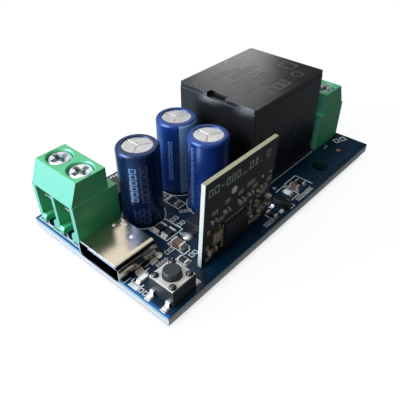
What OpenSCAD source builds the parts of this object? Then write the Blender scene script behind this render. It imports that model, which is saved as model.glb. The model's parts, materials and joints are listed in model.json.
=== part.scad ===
// Smart relay module: a blue circuit board with a USB socket, a push button, two screw
// terminals, three capacitors, an upright radio board and a power relay.
// The frame: +X runs from the socket end to the output end, +Z is up, and the origin is
// under the middle of the module, level with the tips of its longest pins.

/* [Board] */
// Length of the circuit board
board_len = 56.5; // [55.5:0.5:64]
// Width of the circuit board
board_w = 30.3; // [30:0.1:35]
// Thickness of the circuit board
board_t = 1.6; // [1:0.2:2]
// Bore of each mounting hole
mount_bore = 3; // [2.2:0.1:3.2]
// Mounting hole centres from the output edge
mount_inset_x = 12.9; // [11:0.1:13.5]
// Mounting hole centres from the long edges
mount_inset_y = 3.1; // [2.4:0.1:3.6]
// Length of the terminal and relay pins under the board
pin_drop = 1.3; // [1.1:0.1:2]
// Length of the other leads under the board
lead_drop = 1; // [0.9:0.05:1.05]
// Height of a solder cone
solder_h = 0.8; // [0.4:0.05:0.85]
// Radial width of a solder cone's foot outside its hole
solder_foot = 0.35; // [0.2:0.05:0.5]

/* [Screw terminals] */
// Distance between neighbouring poles
pole_pitch = 5.08; // [5:0.04:5.2]
// Poles of the supply terminal
supply_poles = 2; // [2]
// Poles of the output terminal
output_poles = 3; // [3]
// Height of a terminal
term_h = 11.1; // [11:0.1:12.5]
// Height of the shoulder where the lower box ends
term_shoulder_h = 7.4; // [7.4:0.1:7.8]
// Depth of the lower box at its shoulder
term_depth = 8.25; // [8.1:0.05:8.6]
// Top block's front, from the shoulder's front
term_top_front = 1.45; // [1.2:0.05:1.6]
// Length of the top block's flat top
term_top_len = 5.3; // [5.1:0.05:5.5]
// How far the front wall's foot is set back behind the shoulder
term_foot_back = 0.1; // [0:0.05:0.3]
// Step between the top block and the lower box on each side
term_side_step = 0.2; // [0.1:0.05:0.4]
// Shoulder's front from the board's edge
term_edge_gap = 0.54; // [0.3:0.02:0.6]
// Supply terminal from the far long edge
supply_inset = 0.93; // [0.7:0.01:1]
// Output terminal's middle from the board's middle, towards the near edge
output_offset = 0.9; // [0:0.1:1.2]
// Width of a wire entry
entry_w = 3.9; // [3.8:0.05:3.95]
// Height of a wire entry's floor
entry_floor = 1.5; // [1.4:0.05:1.6]
// Height of the top of a wire entry
entry_top = 7.2; // [7:0.05:7.35]
// How far the outer poles' entries are set towards the middle of the terminal
entry_shift = 0.24; // [0:0.02:0.26]
// Width of the ledge at one side of a wire entry
ledge_w = 1; // [0.8:0.05:1.2]
// How far the ledge stands out of the front wall
ledge_out = 0.15; // [0.05:0.01:0.2]
// Width of the rounded foot at the other side of a wire entry
entry_foot_w = 1.1; // [0.8:0.05:1.2]
// Height of that foot
entry_foot_h = 2.2; // [1.8:0.1:2.3]

/* [Terminal screws and clamps] */
// Diameter of a screw head
screw_head_d = 3.7; // [3.4:0.05:3.7]
// Height of a screw head
screw_head_h = 1.2; // [1:0.05:1.3]
// Screw head's top below the terminal's top
screw_recess = 0.25; // [0.2:0.05:0.8]
// Diameter of a screw's shank
screw_shank_d = 2.4; // [2.3:0.02:2.44]
// Diameter of the tapped hole in a clamp
clamp_bore = 2.5; // [2.5:0.02:2.56]
// Radial clearance of a head in its hole
head_clearance = 0.15; // [0.1:0.01:0.18]
// Width of a drive slot
slot_w = 0.85; // [0.6:0.05:0.85]
// Depth of a drive slot
slot_depth = 0.75; // [0.5:0.05:0.9]
// Length of a clamp along the wire
clamp_len = 3.4; // [3.3:0.05:3.6]
// Side clearance of a clamp in its chamber
clamp_side_gap = 0.15; // [0.1:0.01:0.2]
// How far a clamp rises
clamp_lift = 1.8; // [1.6:0.05:2]
// Thickness of a clamp's floor
clamp_floor_t = 0.8; // [0.6:0.05:0.85]
// Thickness of a clamp's side walls
clamp_wall = 0.55; // [0.45:0.05:0.6]
// Thickness of a current bar
bar_t = 0.5; // [0.4:0.05:0.55]
// Width of a terminal's solder pin
term_pin_w = 1; // [0.8:0.05:1.1]

/* [USB socket] */
// Width of the socket's shell
usb_w = 8.94; // [8.8:0.02:9]
// Height of the socket's shell
usb_h = 3.26; // [3.1:0.02:3.3]
// Length of the socket's shell
usb_len = 7.35; // [7:0.05:7.4]
// Radius of the shell's rounded sides
usb_r = 1.25; // [1:0.05:1.4]
// Thickness of the shell's sheet
usb_sheet = 0.25; // [0.2:0.01:0.3]
// How far the shell stands out past the board's edge
usb_overhang = 0.42; // [0.2:0.02:0.6]
// Gap between the shell and the supply terminal
usb_gap = 1.28; // [1.1:0.02:1.4]
// Thickness of the tongue
tongue_t = 0.7; // [0.6:0.05:0.8]
// Width of the tongue
tongue_w = 6.7; // [6.4:0.05:6.8]
// Length of the open mouth in front of the moulded insert
usb_mouth = 5; // [4.8:0.05:5.2]
// Tongue's tip behind the shell's mouth
tongue_back = 0.7; // [0.5:0.05:0.9]

/* [Capacitors] */
// Diameter over the sleeve
cap_d = 6.72; // [6.5:0.02:6.9]
// Height of a capacitor's top above the board
cap_h = 13.5; // [13:0.1:16]
// Gap between the capacitors and the board
cap_lift = 0.4; // [0.2:0.05:0.6]
// Thickness of the sleeve
sleeve_t = 0.15; // [0.1:0.01:0.2]
// Width of the sleeve's turned-in rim
sleeve_rim = 0.8; // [0.6:0.05:1]
// Distance between a capacitor's leads
lead_pitch = 2.5; // [2.4:0.1:3]
// Diameter of a lead
lead_d = 0.6; // [0.5:0.05:0.65]

/* [Relay] */
// Length of the relay
relay_len = 19.9; // [19.4:0.1:20.4]
// Width of the relay
relay_w = 15.8; // [15.6:0.1:16.4]
// Height of the relay's top above the board
relay_h = 16.6; // [16.6:0.1:18]
// Thickness of the relay's case
relay_wall = 0.7; // [0.6:0.05:0.75]
// Thickness of the relay's lid
relay_lid_t = 0.8; // [0.7:0.05:0.8]
// Radius of the case's upright edges
relay_edge_r = 0.4; // [0.2:0.05:0.6]
// Width of the notch in the lid
notch_w = 3.8; // [3:0.1:5]
// Depth of the notch in the lid
notch_depth = 1.2; // [0.8:0.1:1.4]
// Gap between the relay and the output terminal
relay_gap = 0.8; // [0.5:0.05:1.2]
// Radius of the coil
coil_r = 4.9; // [4.4:0.1:5]
// Radius of the iron core
core_r = 2; // [1.8:0.1:2.2]
// Angle that the armature rocks through
rock_angle = 4.5; // [3.5:0.1:4.5]

/* [Radio board] */
// Length of the radio board
radio_len = 16.1; // [15.9:0.1:16.4]
// Height of the radio board
radio_h = 15.2; // [14.5:0.1:18]
// Thickness of the radio board
radio_t = 0.7; // [0.6:0.05:1]
// Near end of the radio board from the socket edge
radio_x = 9.43; // [9.3:0.01:9.5]
// Front of the radio board from the near long edge
radio_y = 2.67; // [2.5:0.01:2.8]
// How far the radio board leans forward, in degrees
radio_lean = 2.8; // [0:0.1:3]
// Side of the radio chip
radio_chip_side = 4.8; // [4:0.1:5]
// Height of the radio chip
radio_chip_h = 0.45; // [0.3:0.05:0.9]
// Number of the radio board's pins
radio_pin_count = 7; // [5:1:8]
// Distance between the radio board's pins
radio_pin_pitch = 2; // [1.8:0.1:2]

/* [Push button] */
// Side of the button's square body
button_side = 4.5; // [4.3:0.05:4.6]
// Left side of the body from the socket edge
button_x = 1.59; // [1.4:0.01:1.7]
// Front of the body from the near long edge
button_y = 0.64; // [0.6:0.01:0.7]
// Height of the body's moulded base
button_base_h = 2.8; // [2.4:0.05:2.8]
// Thickness of the metal cover
button_cover_t = 0.28; // [0.2:0.01:0.3]
// Diameter of the plunger
plunger_d = 2.6; // [2.4:0.05:2.8]
// Height of the plunger's top above the cover
plunger_out = 1; // [0.8:0.05:1.4]
// Travel of the plunger
plunger_travel = 0.25; // [0.15:0.01:0.25]
// Radial clearance of the plunger in the cover
plunger_clearance = 0.1; // [0.05:0.01:0.12]

/* [Small parts] */
// Side of the square inductor
inductor_side = 4; // [3.6:0.1:4.1]
// Height of the inductor
inductor_h = 3; // [2.5:0.1:3.2]
// Length of the diode's body
diode_len = 3.9; // [3.6:0.1:3.9]
// Width of the diode's body
diode_w = 2.7; // [2.5:0.05:2.75]
// Height of the diode's body
diode_h = 2.1; // [1.9:0.05:2.3]
// Length, width and height of a large chip part
large_chip = [2, 1.25, 0.5];
// Length, width and height of a small chip part
small_chip = [1.6, 0.8, 0.45];

/* [Hidden] */
$fn = 64;

// Small gap between pieces that are fitted together
fit_gap = 0.05;
// Overshoot of a cut past the face that it opens
cut = 1;

// Place of the board in the frame: the module's box is centred on the origin
origin_x = (board_len - usb_overhang) / 2;
origin_y = board_w / 2;
board_top = board_t + pin_drop;

// Terminal: x from the shoulder's front, y along the poles, z from the board
term_top_back = term_top_front + term_top_len;
screw_x = term_top_front + term_top_len / 2;
head_top = term_h - screw_recess;
head_bottom = head_top - screw_head_h;
head_hole_r = screw_head_d / 2 + head_clearance;
ledge_t = 0.45;
chamber_top = head_bottom - ledge_t;
clamp_w = entry_w - 2 * clamp_side_gap;
clamp_z = entry_floor + fit_gap;
clamp_h = chamber_top - clamp_lift - clamp_z - fit_gap;
grip_gap = 0.2;
chamber_floor_x = 1.7;
bar_z = clamp_z + clamp_floor_t + clamp_lift + grip_gap;
bar_top = bar_z + bar_t;
bar_w = clamp_w - 2 * clamp_wall - 2 * fit_gap;
window_top = bar_top + 2 * fit_gap;
bar_front = screw_x - clamp_len / 2 - 0.45;
guard_front = 0.75;
guard_z = bar_z + 0.9;
bar_leg_x = screw_x + clamp_len / 2 + 0.55;
bar_back = bar_leg_x + bar_t;
chamber_front = screw_x - clamp_len / 2 - 0.15;
chamber_back = screw_x + clamp_len / 2 + 0.15;
supply_y = board_w - supply_inset - supply_poles * pole_pitch;
usb_y = supply_y - usb_gap - usb_w;
output_y = board_w / 2 - output_offset - output_poles * pole_pitch / 2;
term_pin_x = bar_leg_x + bar_t / 2;

// Relay: x from the case's near end, y from its middle, z from the board
relay_x = board_len - term_edge_gap - term_depth - relay_gap - relay_len;
relay_y = board_w / 2 - 0.07;
case_bottom = 0;
case_top = relay_h - relay_lid_t;
relay_floor = 1.6;
yoke_t = 1.1;
yoke_x = relay_wall + 0.5;
yoke_w = 9;
coil_x = yoke_x + yoke_t + 0.4 + coil_r + 0.5;
flange_half = coil_r + 0.5;
flange_t = 0.7;
pole_top = relay_h - 4.4;
pole_t = 0.6;
pole_r = core_r + 1.2;
bobbin_bottom = relay_floor + yoke_t;
bobbin_top = pole_top - pole_t;
armature_t = 0.9;
armature_z = pole_top + 0.75;
armature_end = coil_x + pole_r + 0.6;
blade_t = 0.2;
blade_z = armature_z + armature_t;
contact_x = relay_len - 3.7;
contact_r = 1.1;
contact_t = 0.4;
contact_drop = (contact_x + contact_r - yoke_x - yoke_t) * sin(rock_angle);
strip_t = 0.3;
strip_w = 2.4;
leg_y = 5.35;
relay_pin_w = 0.9;
coil_pin_x = 4.5;
coil_pin_y = flange_half + 0.45;
coil_pin_w = 0.6;

// Capacitors: centres on the board, one beside the supply terminal and two beside the relay
CAP_SITES = [[term_edge_gap + term_depth + cap_d / 2 + 0.05, supply_y - 1.61],
             [relay_x - cap_d / 2 - 1.45, relay_y + 4.12],
             [relay_x - cap_d / 2 - 2.25, relay_y - 3.38]];
can_r = cap_d / 2 - sleeve_t - 0.02;
can_top = cap_h - sleeve_t - 0.02;
can_bottom = cap_lift + sleeve_t + 0.02;
can_wall = 0.3;
bung_h = 1.6;

// Middle of the row of chip parts along the near edge
chip_row_y = 3.05;
// Small parts that keep their places beside the larger ones
diode_at = [CAP_SITES[2][0] - 5.45, CAP_SITES[2][1] - 3.1];
pair_at = [CAP_SITES[0][0] - 0.6, CAP_SITES[0][1] - 6.25];
between_x = (CAP_SITES[0][0] + CAP_SITES[1][0]) / 2 + 0.2
    + 0.107 * (CAP_SITES[1][0] - CAP_SITES[0][0] - cap_d);
button_far = button_y + button_side;
led_y = button_far + 0.4 + 0.626 * (usb_y - button_far - 0.8);

radio_pin_w = 0.5;
radio_pin_y = radio_y + radio_t + fit_gap + radio_pin_w / 2;
function radio_pin_x(i) = radio_x + radio_len / 2 + (i - (radio_pin_count - 1) / 2) * radio_pin_pitch;
function hole_r(w, l) = sqrt(w * w + l * l) / 2 + 0.15;

button_mid = [button_x + button_side / 2, button_y + button_side / 2];
cover_z = button_base_h;
cover_top = cover_z + button_cover_t;

PIN_SITES = concat(
    [for (i = [0:supply_poles - 1]) [term_edge_gap + term_pin_x, supply_y + (i + 0.5) * pole_pitch,
                                     bar_t, term_pin_w]],
    [for (i = [0:output_poles - 1]) [board_len - term_edge_gap - term_pin_x,
                                     output_y + (i + 0.5) * pole_pitch, bar_t, term_pin_w]],
    [for (s = [-1, 1]) [relay_x + contact_x, relay_y + s * leg_y, relay_pin_w, strip_t]],
    [for (s = [-1, 1]) [relay_x + coil_pin_x, relay_y + s * coil_pin_y, coil_pin_w, coil_pin_w]],
    [[relay_x + yoke_x + yoke_t / 2, relay_y, yoke_t, relay_pin_w]],
    [for (i = [0:radio_pin_count - 1]) [radio_pin_x(i), radio_pin_y, radio_pin_w, radio_pin_w]]);
LEAD_SITES = [for (c = CAP_SITES) for (s = [-1, 1]) [c[0] + s * lead_pitch / 2, c[1]]];

usb_leg_w = 1.1;
USB_LEG_X = [3.4, 6.2];
usb_slot_w = 0.6;

// Moves a piece from the board's own corner to the module's frame
module on_board(x = 0, y = 0, z = 0) {
    translate([x - origin_x, y - origin_y, z + board_top]) children();
}

module block(low, high) {
    translate(low) cube(high - low);
}

// A plate with its x and y centred, standing on z
module plate(x, y, z, size) {
    translate([x - size[0] / 2, y - size[1] / 2, z]) cube(size);
}

// A bar with rounded long edges that runs along X
module rounded_bar(length, width, height, r) {
    rotate([90, 0, 90]) linear_extrude(length) rounded_rect(width, height, r);
}

module rounded_rect(width, height, r) {
    translate([r, 0]) square([width - 2 * r, height]);
    translate([0, r]) square([width, height - 2 * r]);
    for (x = [r, width - r]) for (y = [r, height - r]) translate([x, y]) circle(r);
}

module main_board() {
    color([0.04, 0.14, 0.3]) on_board() difference() {
        block([0, 0, -board_t], [board_len, board_w, 0]);
        for (y = [mount_inset_y, board_w - mount_inset_y])
            translate([board_len - mount_inset_x, y, -board_t - cut])
                cylinder(d = mount_bore, h = board_t + 2 * cut);
        for (p = PIN_SITES) translate([p[0], p[1], -board_t - cut])
            cylinder(r = hole_r(p[2], p[3]), h = board_t + 2 * cut);
        for (p = LEAD_SITES) translate([p[0], p[1], -board_t - cut])
            cylinder(r = lead_d / 2 + 0.15, h = board_t + 2 * cut);
        for (x = USB_LEG_X) for (y = [usb_y + usb_sheet / 2, usb_y + usb_w - usb_sheet / 2])
            plate(x - usb_overhang, y, -board_t - cut, [usb_leg_w + 0.3, usb_slot_w, board_t + 2 * cut]);
    }
}

// How far a pole's entry is set off the pole's middle, so that the walls between poles are thin
function entry_off(i, poles) = i == 0 ? entry_shift : i == poles - 1 ? -entry_shift : 0;

// One terminal of any number of poles, in its own frame
module terminal_body(poles) {
    width = poles * pole_pitch;
    color([0.15, 0.65, 0.35]) {
        difference() {
            union() {
                across(0, width) polygon([[term_foot_back, 0], [0, term_shoulder_h],
                                          [term_depth, term_shoulder_h], [term_depth, 0]]);
                across(term_side_step, width - term_side_step)
                    polygon([[0, term_shoulder_h - 0.01], [term_top_front, term_h],
                             [term_top_back, term_h], [term_top_back, term_shoulder_h - 0.01]]);
            }
            for (i = [0:poles - 1]) translate([0, (i + 0.5) * pole_pitch, 0]) pole_cut(entry_off(i, poles));
        }
        for (i = [0:poles - 1]) translate([0, (i + 0.5) * pole_pitch + entry_off(i, poles), 0]) {
            entry_ledge();
            entry_foot();
        }
    }
}

// A profile in x and z, drawn out along y
module across(y0, y1) {
    translate([0, y1, 0]) rotate([90, 0, 0]) linear_extrude(y1 - y0) children();
}

// The ledge that the wire rests on, at the far side of an entry
module entry_ledge() {
    bevel = 0.35;
    low = 0.4;
    across(entry_w / 2 - ledge_w, entry_w / 2 + 0.02)
        polygon([[-ledge_out + bevel, entry_floor], [chamber_floor_x + 0.1, entry_floor],
                 [chamber_floor_x + 0.1, low], [-ledge_out, low], [-ledge_out, entry_floor - bevel]]);
}

// The rounded foot at the near side of an entry
module entry_foot() {
    straight = entry_foot_h - entry_foot_w;
    translate([term_foot_back, -entry_w / 2, 0]) rotate([90, 0, 90]) linear_extrude(chamber_floor_x) {
        translate([-0.02, 0]) square([entry_foot_w + 0.02, straight]);
        intersection() {
            translate([0, straight]) circle(entry_foot_w);
            translate([-0.02, 0]) square([entry_foot_w + 0.02, entry_foot_h]);
        }
    }
}

// Everything that is cut out of the housing for one pole, centred on the pole
module pole_cut(off) {
    pin_half = term_pin_w / 2 + fit_gap;
    block([-cut, off - entry_w / 2, -cut], [chamber_floor_x, off + entry_w / 2, entry_top]);
    block([chamber_floor_x - cut, off - entry_w / 2, entry_floor], [chamber_front, off + entry_w / 2, entry_top]);
    block([chamber_front, -entry_w / 2, entry_floor], [chamber_back, entry_w / 2, chamber_top]);
    block([screw_x, -bar_w / 2 - fit_gap, entry_floor],
          [bar_back + fit_gap, bar_w / 2 + fit_gap, bar_top + fit_gap]);
    block([bar_leg_x - fit_gap, -pin_half, -cut], [bar_back + fit_gap, pin_half, entry_floor + cut]);
    translate([screw_x, 0, chamber_top - cut]) cylinder(d = screw_shank_d + 0.3, h = ledge_t + 2 * cut);
    translate([screw_x, 0, head_bottom - 0.02]) cylinder(r = head_hole_r, h = term_h - head_bottom + cut);
    translate([screw_x, 0, term_h - 0.18]) cylinder(r1 = head_hole_r, r2 = head_hole_r + 0.19, h = 0.19);
}

// A terminal screw with a cross recess, its axis on the origin
module terminal_screw() {
    head_r = screw_head_d / 2;
    color([0.8, 0.8, 0.82]) difference() {
        union() {
            translate([0, 0, bar_top + fit_gap]) cylinder(d = screw_shank_d, h = head_bottom - bar_top);
            translate([0, 0, head_bottom]) cylinder(r = head_r, h = screw_head_h - 0.25);
            translate([0, 0, head_top - 0.25]) cylinder(r1 = head_r, r2 = head_r - 0.25, h = 0.25);
        }
        for (a = [0, 90]) rotate([0, 0, a])
            plate(0, 0, head_top - slot_depth, [0.78 * screw_head_d, slot_w, slot_depth + cut]);
        translate([0, 0, head_top - slot_depth]) cylinder(r1 = 0.3, r2 = 0.85, h = slot_depth + 0.01);
    }
}

// The cage that a screw lifts: a window for the wire and a tapped crown
module terminal_clamp() {
    color([0.75, 0.76, 0.78]) difference() {
        plate(0, 0, clamp_z, [clamp_len, clamp_w, clamp_h]);
        block([-clamp_len, -clamp_w / 2 + clamp_wall, clamp_z + clamp_floor_t],
              [clamp_len, clamp_w / 2 - clamp_wall, window_top]);
        translate([0, 0, window_top - cut]) cylinder(d = clamp_bore, h = clamp_h + 2 * cut);
        for (x = [-0.8, 0, 0.8]) translate([x, 0, clamp_z + clamp_floor_t])
            rotate([90, 45, 0]) cube([0.25, 0.25, clamp_w - 2 * clamp_wall - 0.3], center = true);
    }
}

// A current bar that ends in a solder pin
module terminal_contact() {
    color([0.8, 0.7, 0.45]) {
        block([bar_front, -bar_w / 2, bar_z], [bar_leg_x, bar_w / 2, bar_top]);
        block([bar_front, -bar_w / 2, bar_z], [bar_front + 0.35, bar_w / 2, guard_z + 0.3]);
        block([guard_front, -0.8, guard_z], [bar_front + 0.35, 0.8, guard_z + 0.3]);
        block([bar_leg_x - 0.01, -term_pin_w / 2, -board_t - pin_drop], [bar_back, term_pin_w / 2, bar_top]);
    }
}

module at_supply_pole(i) {
    on_board(term_edge_gap, supply_y + (i + 0.5) * pole_pitch) children();
}

module at_output_pole(i) {
    on_board(board_len - term_edge_gap, output_y + (i + 0.5) * pole_pitch) rotate([0, 0, 180]) children();
}

module supply_terminal_body() {
    on_board(term_edge_gap, supply_y) terminal_body(supply_poles);
}

module output_terminal_body() {
    on_board(board_len - term_edge_gap, output_y + output_poles * pole_pitch)
        rotate([0, 0, 180]) terminal_body(output_poles);
}

module supply_screw(i) {
    at_supply_pole(i) translate([screw_x, 0, 0]) terminal_screw();
}

module supply_clamp(i) {
    at_supply_pole(i) translate([screw_x, 0, 0]) terminal_clamp();
}

module output_screw(i) {
    at_output_pole(i) translate([screw_x, 0, 0]) terminal_screw();
}

module output_clamp(i) {
    at_output_pole(i) translate([screw_x, 0, 0]) terminal_clamp();
}

module supply_contacts() {
    for (i = [0:supply_poles - 1]) at_supply_pole(i) terminal_contact();
}

module output_contacts() {
    for (i = [0:output_poles - 1]) at_output_pole(i) terminal_contact();
}

module usb_shell() {
    inner_w = usb_w - 2 * usb_sheet;
    inner_h = usb_h - 2 * usb_sheet;
    color([0.75, 0.72, 0.68]) on_board(-usb_overhang, usb_y) {
        difference() {
            rounded_bar(usb_len, usb_w, usb_h, usb_r);
            translate([-cut, usb_sheet, usb_sheet])
                rounded_bar(usb_len + 2 * cut, inner_w, inner_h, usb_r - usb_sheet);
            block([usb_len - 0.9, usb_w / 2 - 3.5, -cut], [usb_len + cut, usb_w / 2 + 3.5, usb_sheet + 0.1]);
        }
        for (x = USB_LEG_X) for (y = [0, usb_w - usb_sheet])
            block([x - usb_leg_w / 2, y, -board_t - lead_drop + 0.2], [x + usb_leg_w / 2, y + usb_sheet, usb_r + 0.3]);
    }
}

module usb_tongue() {
    gap = usb_sheet + 0.03;
    color([0.1, 0.1, 0.1]) on_board(-usb_overhang, usb_y) {
        difference() {
            translate([usb_mouth, gap, gap])
                rounded_bar(usb_len - usb_mouth - 0.1, usb_w - 2 * gap, usb_h - 2 * gap, usb_r - gap);
            block([usb_len - 0.9, usb_w / 2 - 3.5, 0], [usb_len + cut, usb_w / 2 + 3.5, 1.0]);
        }
        block([tongue_back, (usb_w - tongue_w) / 2, (usb_h - tongue_t) / 2],
              [usb_mouth + 0.1, (usb_w + tongue_w) / 2, (usb_h + tongue_t) / 2]);
    }
}

module usb_contacts() {
    strip = 0.25;
    gauge = 0.08;
    pitch = 0.5;
    color([0.85, 0.7, 0.35]) on_board(-usb_overhang, usb_y + usb_w / 2) {
        for (i = [-5.5:1:5.5]) for (z = [(usb_h - tongue_t) / 2 - gauge, (usb_h + tongue_t) / 2])
            block([tongue_back + 0.4, i * pitch - strip / 2, z], [usb_mouth, i * pitch + strip / 2, z + gauge]);
        for (i = [-5.5:1:5.5])
            block([usb_len - 0.85, i * pitch - strip / 2, 0], [usb_len + 0.6, i * pitch + strip / 2, 0.2]);
    }
}

module capacitor_sleeve(i) {
    r = cap_d / 2;
    rim_r = can_r - sleeve_rim;
    round = 0.6;
    color([0.05, 0.1, 0.4]) on_board(CAP_SITES[i][0], CAP_SITES[i][1]) rotate_extrude() difference() {
        union() {
            translate([rim_r, cap_lift]) square([r - rim_r, cap_h - cap_lift - round]);
            translate([rim_r, cap_h - round - 0.01]) square([r - rim_r - round, round + 0.01]);
            translate([r - round, cap_h - round]) circle(round);
        }
        can_profile(0.01);
        translate([rim_r - cut, can_bottom]) square([cut + 0.1, can_top - can_bottom]);
    }
}

// The can's outer profile, grown by a small gap
module can_profile(grow) {
    round = 0.45;
    translate([0, can_bottom - grow]) square([can_r + grow, can_top - can_bottom - round]);
    translate([0, can_top - round - 0.1]) square([can_r - round, round + 0.1 + grow]);
    translate([can_r - round, can_top - round - 0.01]) circle(round + grow);
}

module capacitor_can(i) {
    inner_r = can_r - can_wall;
    groove_z = can_bottom + bung_h / 2;
    vent = 0.12;
    color([0.8, 0.8, 0.8]) on_board(CAP_SITES[i][0], CAP_SITES[i][1]) difference() {
        rotate_extrude() difference() {
            intersection() {
                can_profile(0);
                square([can_r, can_top]);
            }
            translate([0, can_bottom - cut]) square([inner_r, can_top - can_bottom - can_wall + cut]);
            translate([can_r + 0.12, groove_z]) circle(0.35);
        }
        for (a = [90, 210, 330]) rotate([0, 0, a])
            block([0, -vent / 2, can_top - vent], [can_r - sleeve_rim - 0.2, vent / 2, can_top + cut]);
    }
}

module capacitor_bung(i) {
    r = can_r - can_wall - 0.01;
    color([0.12, 0.12, 0.12]) on_board(CAP_SITES[i][0], CAP_SITES[i][1]) difference() {
        translate([0, 0, can_bottom + 0.1]) cylinder(r = r, h = bung_h - 0.1);
        for (s = [-1, 1]) translate([s * lead_pitch / 2, 0, 0]) cylinder(d = lead_d + 0.04, h = bung_h * 3);
    }
}

module capacitor_winding(i) {
    r = can_r - can_wall - 0.15;
    low = can_bottom + bung_h + 0.25;
    color([0.85, 0.8, 0.65]) on_board(CAP_SITES[i][0], CAP_SITES[i][1]) difference() {
        translate([0, 0, low]) cylinder(r = r, h = can_top - can_wall - 0.3 - low);
        translate([0, 0, low - cut]) cylinder(r = 0.5, h = cap_h);
    }
}

module capacitor_leads() {
    color([0.8, 0.8, 0.8]) for (p = LEAD_SITES) on_board(p[0], p[1], -board_t - lead_drop)
        cylinder(d = lead_d, h = board_t + lead_drop + can_bottom + bung_h + 0.25);
}

module relay_frame() {
    on_board(relay_x, relay_y) children();
}

// Outline of the relay, drawn in by a wall
module relay_outline(inset, r) {
    translate([inset, inset - relay_w / 2]) rounded_rect(relay_len - 2 * inset, relay_w - 2 * inset, r);
}

module relay_case() {
    color([0.05, 0.05, 0.05]) relay_frame() difference() {
        translate([0, 0, case_bottom]) linear_extrude(case_top - case_bottom) relay_outline(0, relay_edge_r);
        translate([0, 0, case_bottom - cut]) linear_extrude(case_top + 2 * cut) relay_outline(relay_wall, 0.2);
    }
}

module relay_lid() {
    rim_h = 0.6;
    lid_inset = 0.05;
    rim_inset = relay_wall + fit_gap;
    color([0.07, 0.07, 0.07]) relay_frame() difference() {
        union() {
            translate([0, 0, case_top]) linear_extrude(relay_lid_t) relay_outline(lid_inset, relay_edge_r);
            translate([0, 0, case_top - rim_h]) linear_extrude(rim_h + 0.01) difference() {
                relay_outline(rim_inset, 0.2);
                relay_outline(rim_inset + 0.6, 0.2);
            }
        }
        block([-cut, -notch_w / 2, case_top - rim_h - cut], [notch_depth, notch_w / 2, relay_h + cut]);
    }
}

module relay_base() {
    inset = relay_wall + fit_gap;
    color([0.08, 0.08, 0.08]) relay_frame() difference() {
        translate([0, 0, 0.3]) linear_extrude(relay_floor - 0.3) relay_outline(inset, 0.2);
        for (s = [-1, 1]) {
            plate(contact_x, s * leg_y, -cut, [relay_pin_w + 0.1, strip_t + 0.1, 4]);
            plate(coil_pin_x, s * coil_pin_y, -cut, [coil_pin_w + 0.1, coil_pin_w + 0.1, 4]);
        }
        plate(yoke_x + yoke_t / 2, 0, -cut, [yoke_t + 0.1, relay_pin_w + 0.1, 4]);
    }
}

module relay_bobbin() {
    tube_r = core_r + 0.6;
    color([0.85, 0.83, 0.75]) relay_frame() translate([coil_x, 0, 0]) difference() {
        union() {
            for (z = [bobbin_bottom, bobbin_top - flange_t])
                plate(0, 0, z, [2 * flange_half, 2 * flange_half, flange_t]);
            translate([0, 0, bobbin_bottom]) cylinder(r = tube_r, h = bobbin_top - bobbin_bottom);
        }
        translate([0, 0, bobbin_bottom - cut]) cylinder(r = core_r + 0.03, h = bobbin_top);
    }
}

module relay_coil() {
    low = bobbin_bottom + flange_t + 0.02;
    high = bobbin_top - flange_t - 0.02;
    color([0.7, 0.3, 0.12]) relay_frame() translate([coil_x, 0, low]) difference() {
        cylinder(r = coil_r, h = high - low);
        translate([0, 0, -cut]) cylinder(r = core_r + 0.62, h = high - low + 2 * cut);
    }
}

module relay_core() {
    color([0.6, 0.6, 0.62]) relay_frame() translate([coil_x, 0, 0]) {
        translate([0, 0, bobbin_bottom]) cylinder(r = core_r, h = pole_top - bobbin_bottom - 0.1);
        translate([0, 0, bobbin_top]) cylinder(r = pole_r, h = pole_t);
    }
}

module relay_yoke() {
    foot_end = coil_x + core_r + 1.2;
    color([0.6, 0.6, 0.62]) relay_frame() {
        block([yoke_x, -yoke_w / 2, relay_floor], [yoke_x + yoke_t, yoke_w / 2, armature_z - 0.03]);
        block([yoke_x, -yoke_w / 2, relay_floor], [foot_end, yoke_w / 2, bobbin_bottom]);
        block([yoke_x, -relay_pin_w / 2, -board_t - pin_drop],
              [yoke_x + yoke_t, relay_pin_w / 2, relay_floor + 0.1]);
    }
}

module relay_armature() {
    color([0.62, 0.62, 0.64]) relay_frame() difference() {
        block([yoke_x - 0.2, -yoke_w / 2 + 0.3, armature_z], [armature_end, yoke_w / 2 - 0.3, blade_z]);
        for (s = [-1, 1]) block([yoke_x - cut, s * yoke_w / 2 - 1.1, armature_z - cut],
                                [yoke_x + yoke_t + 0.6, s * yoke_w / 2 + 1.1, blade_z + cut]);
    }
}

module relay_contact_spring() {
    color([0.8, 0.6, 0.35]) relay_frame() {
        block([yoke_x + 2, -2.1, blade_z], [contact_x + contact_r + 0.3, 2.1, blade_z + blade_t]);
        for (x = [yoke_x + 3.4, yoke_x + 7]) translate([x, 0, blade_z + blade_t - 0.01]) cylinder(r = 0.7, h = 0.3);
        translate([contact_x, 0, blade_z - contact_t]) cylinder(r = contact_r, h = 2 * contact_t + blade_t);
    }
}

// A fixed contact: a button on a strip that turns down into a pin at one side
module fixed_contact(side, strip_z, button_z) {
    tip = side * -contact_r;
    y0 = min(tip, side * (leg_y + strip_t / 2));
    y1 = max(tip, side * (leg_y + strip_t / 2));
    block([contact_x - strip_w / 2, y0, strip_z], [contact_x + strip_w / 2, y1, strip_z + strip_t]);
    translate([contact_x, 0, button_z]) cylinder(r = contact_r, h = contact_t);
    plate(contact_x, side * leg_y, relay_floor, [strip_w, strip_t, strip_z + strip_t - relay_floor]);
    plate(contact_x, side * leg_y, -board_t - pin_drop, [relay_pin_w, strip_t, board_t + pin_drop + relay_floor + 0.1]);
}

module relay_nc_contact() {
    under = blade_z + blade_t + contact_t + 0.05;
    color([0.8, 0.6, 0.35]) relay_frame() fixed_contact(1, under + contact_t - 0.05, under);
}

module relay_no_contact() {
    top = blade_z - contact_t - contact_drop - 0.06;
    color([0.8, 0.6, 0.35]) relay_frame() fixed_contact(-1, top - contact_t - strip_t + 0.05, top - contact_t);
}

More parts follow.
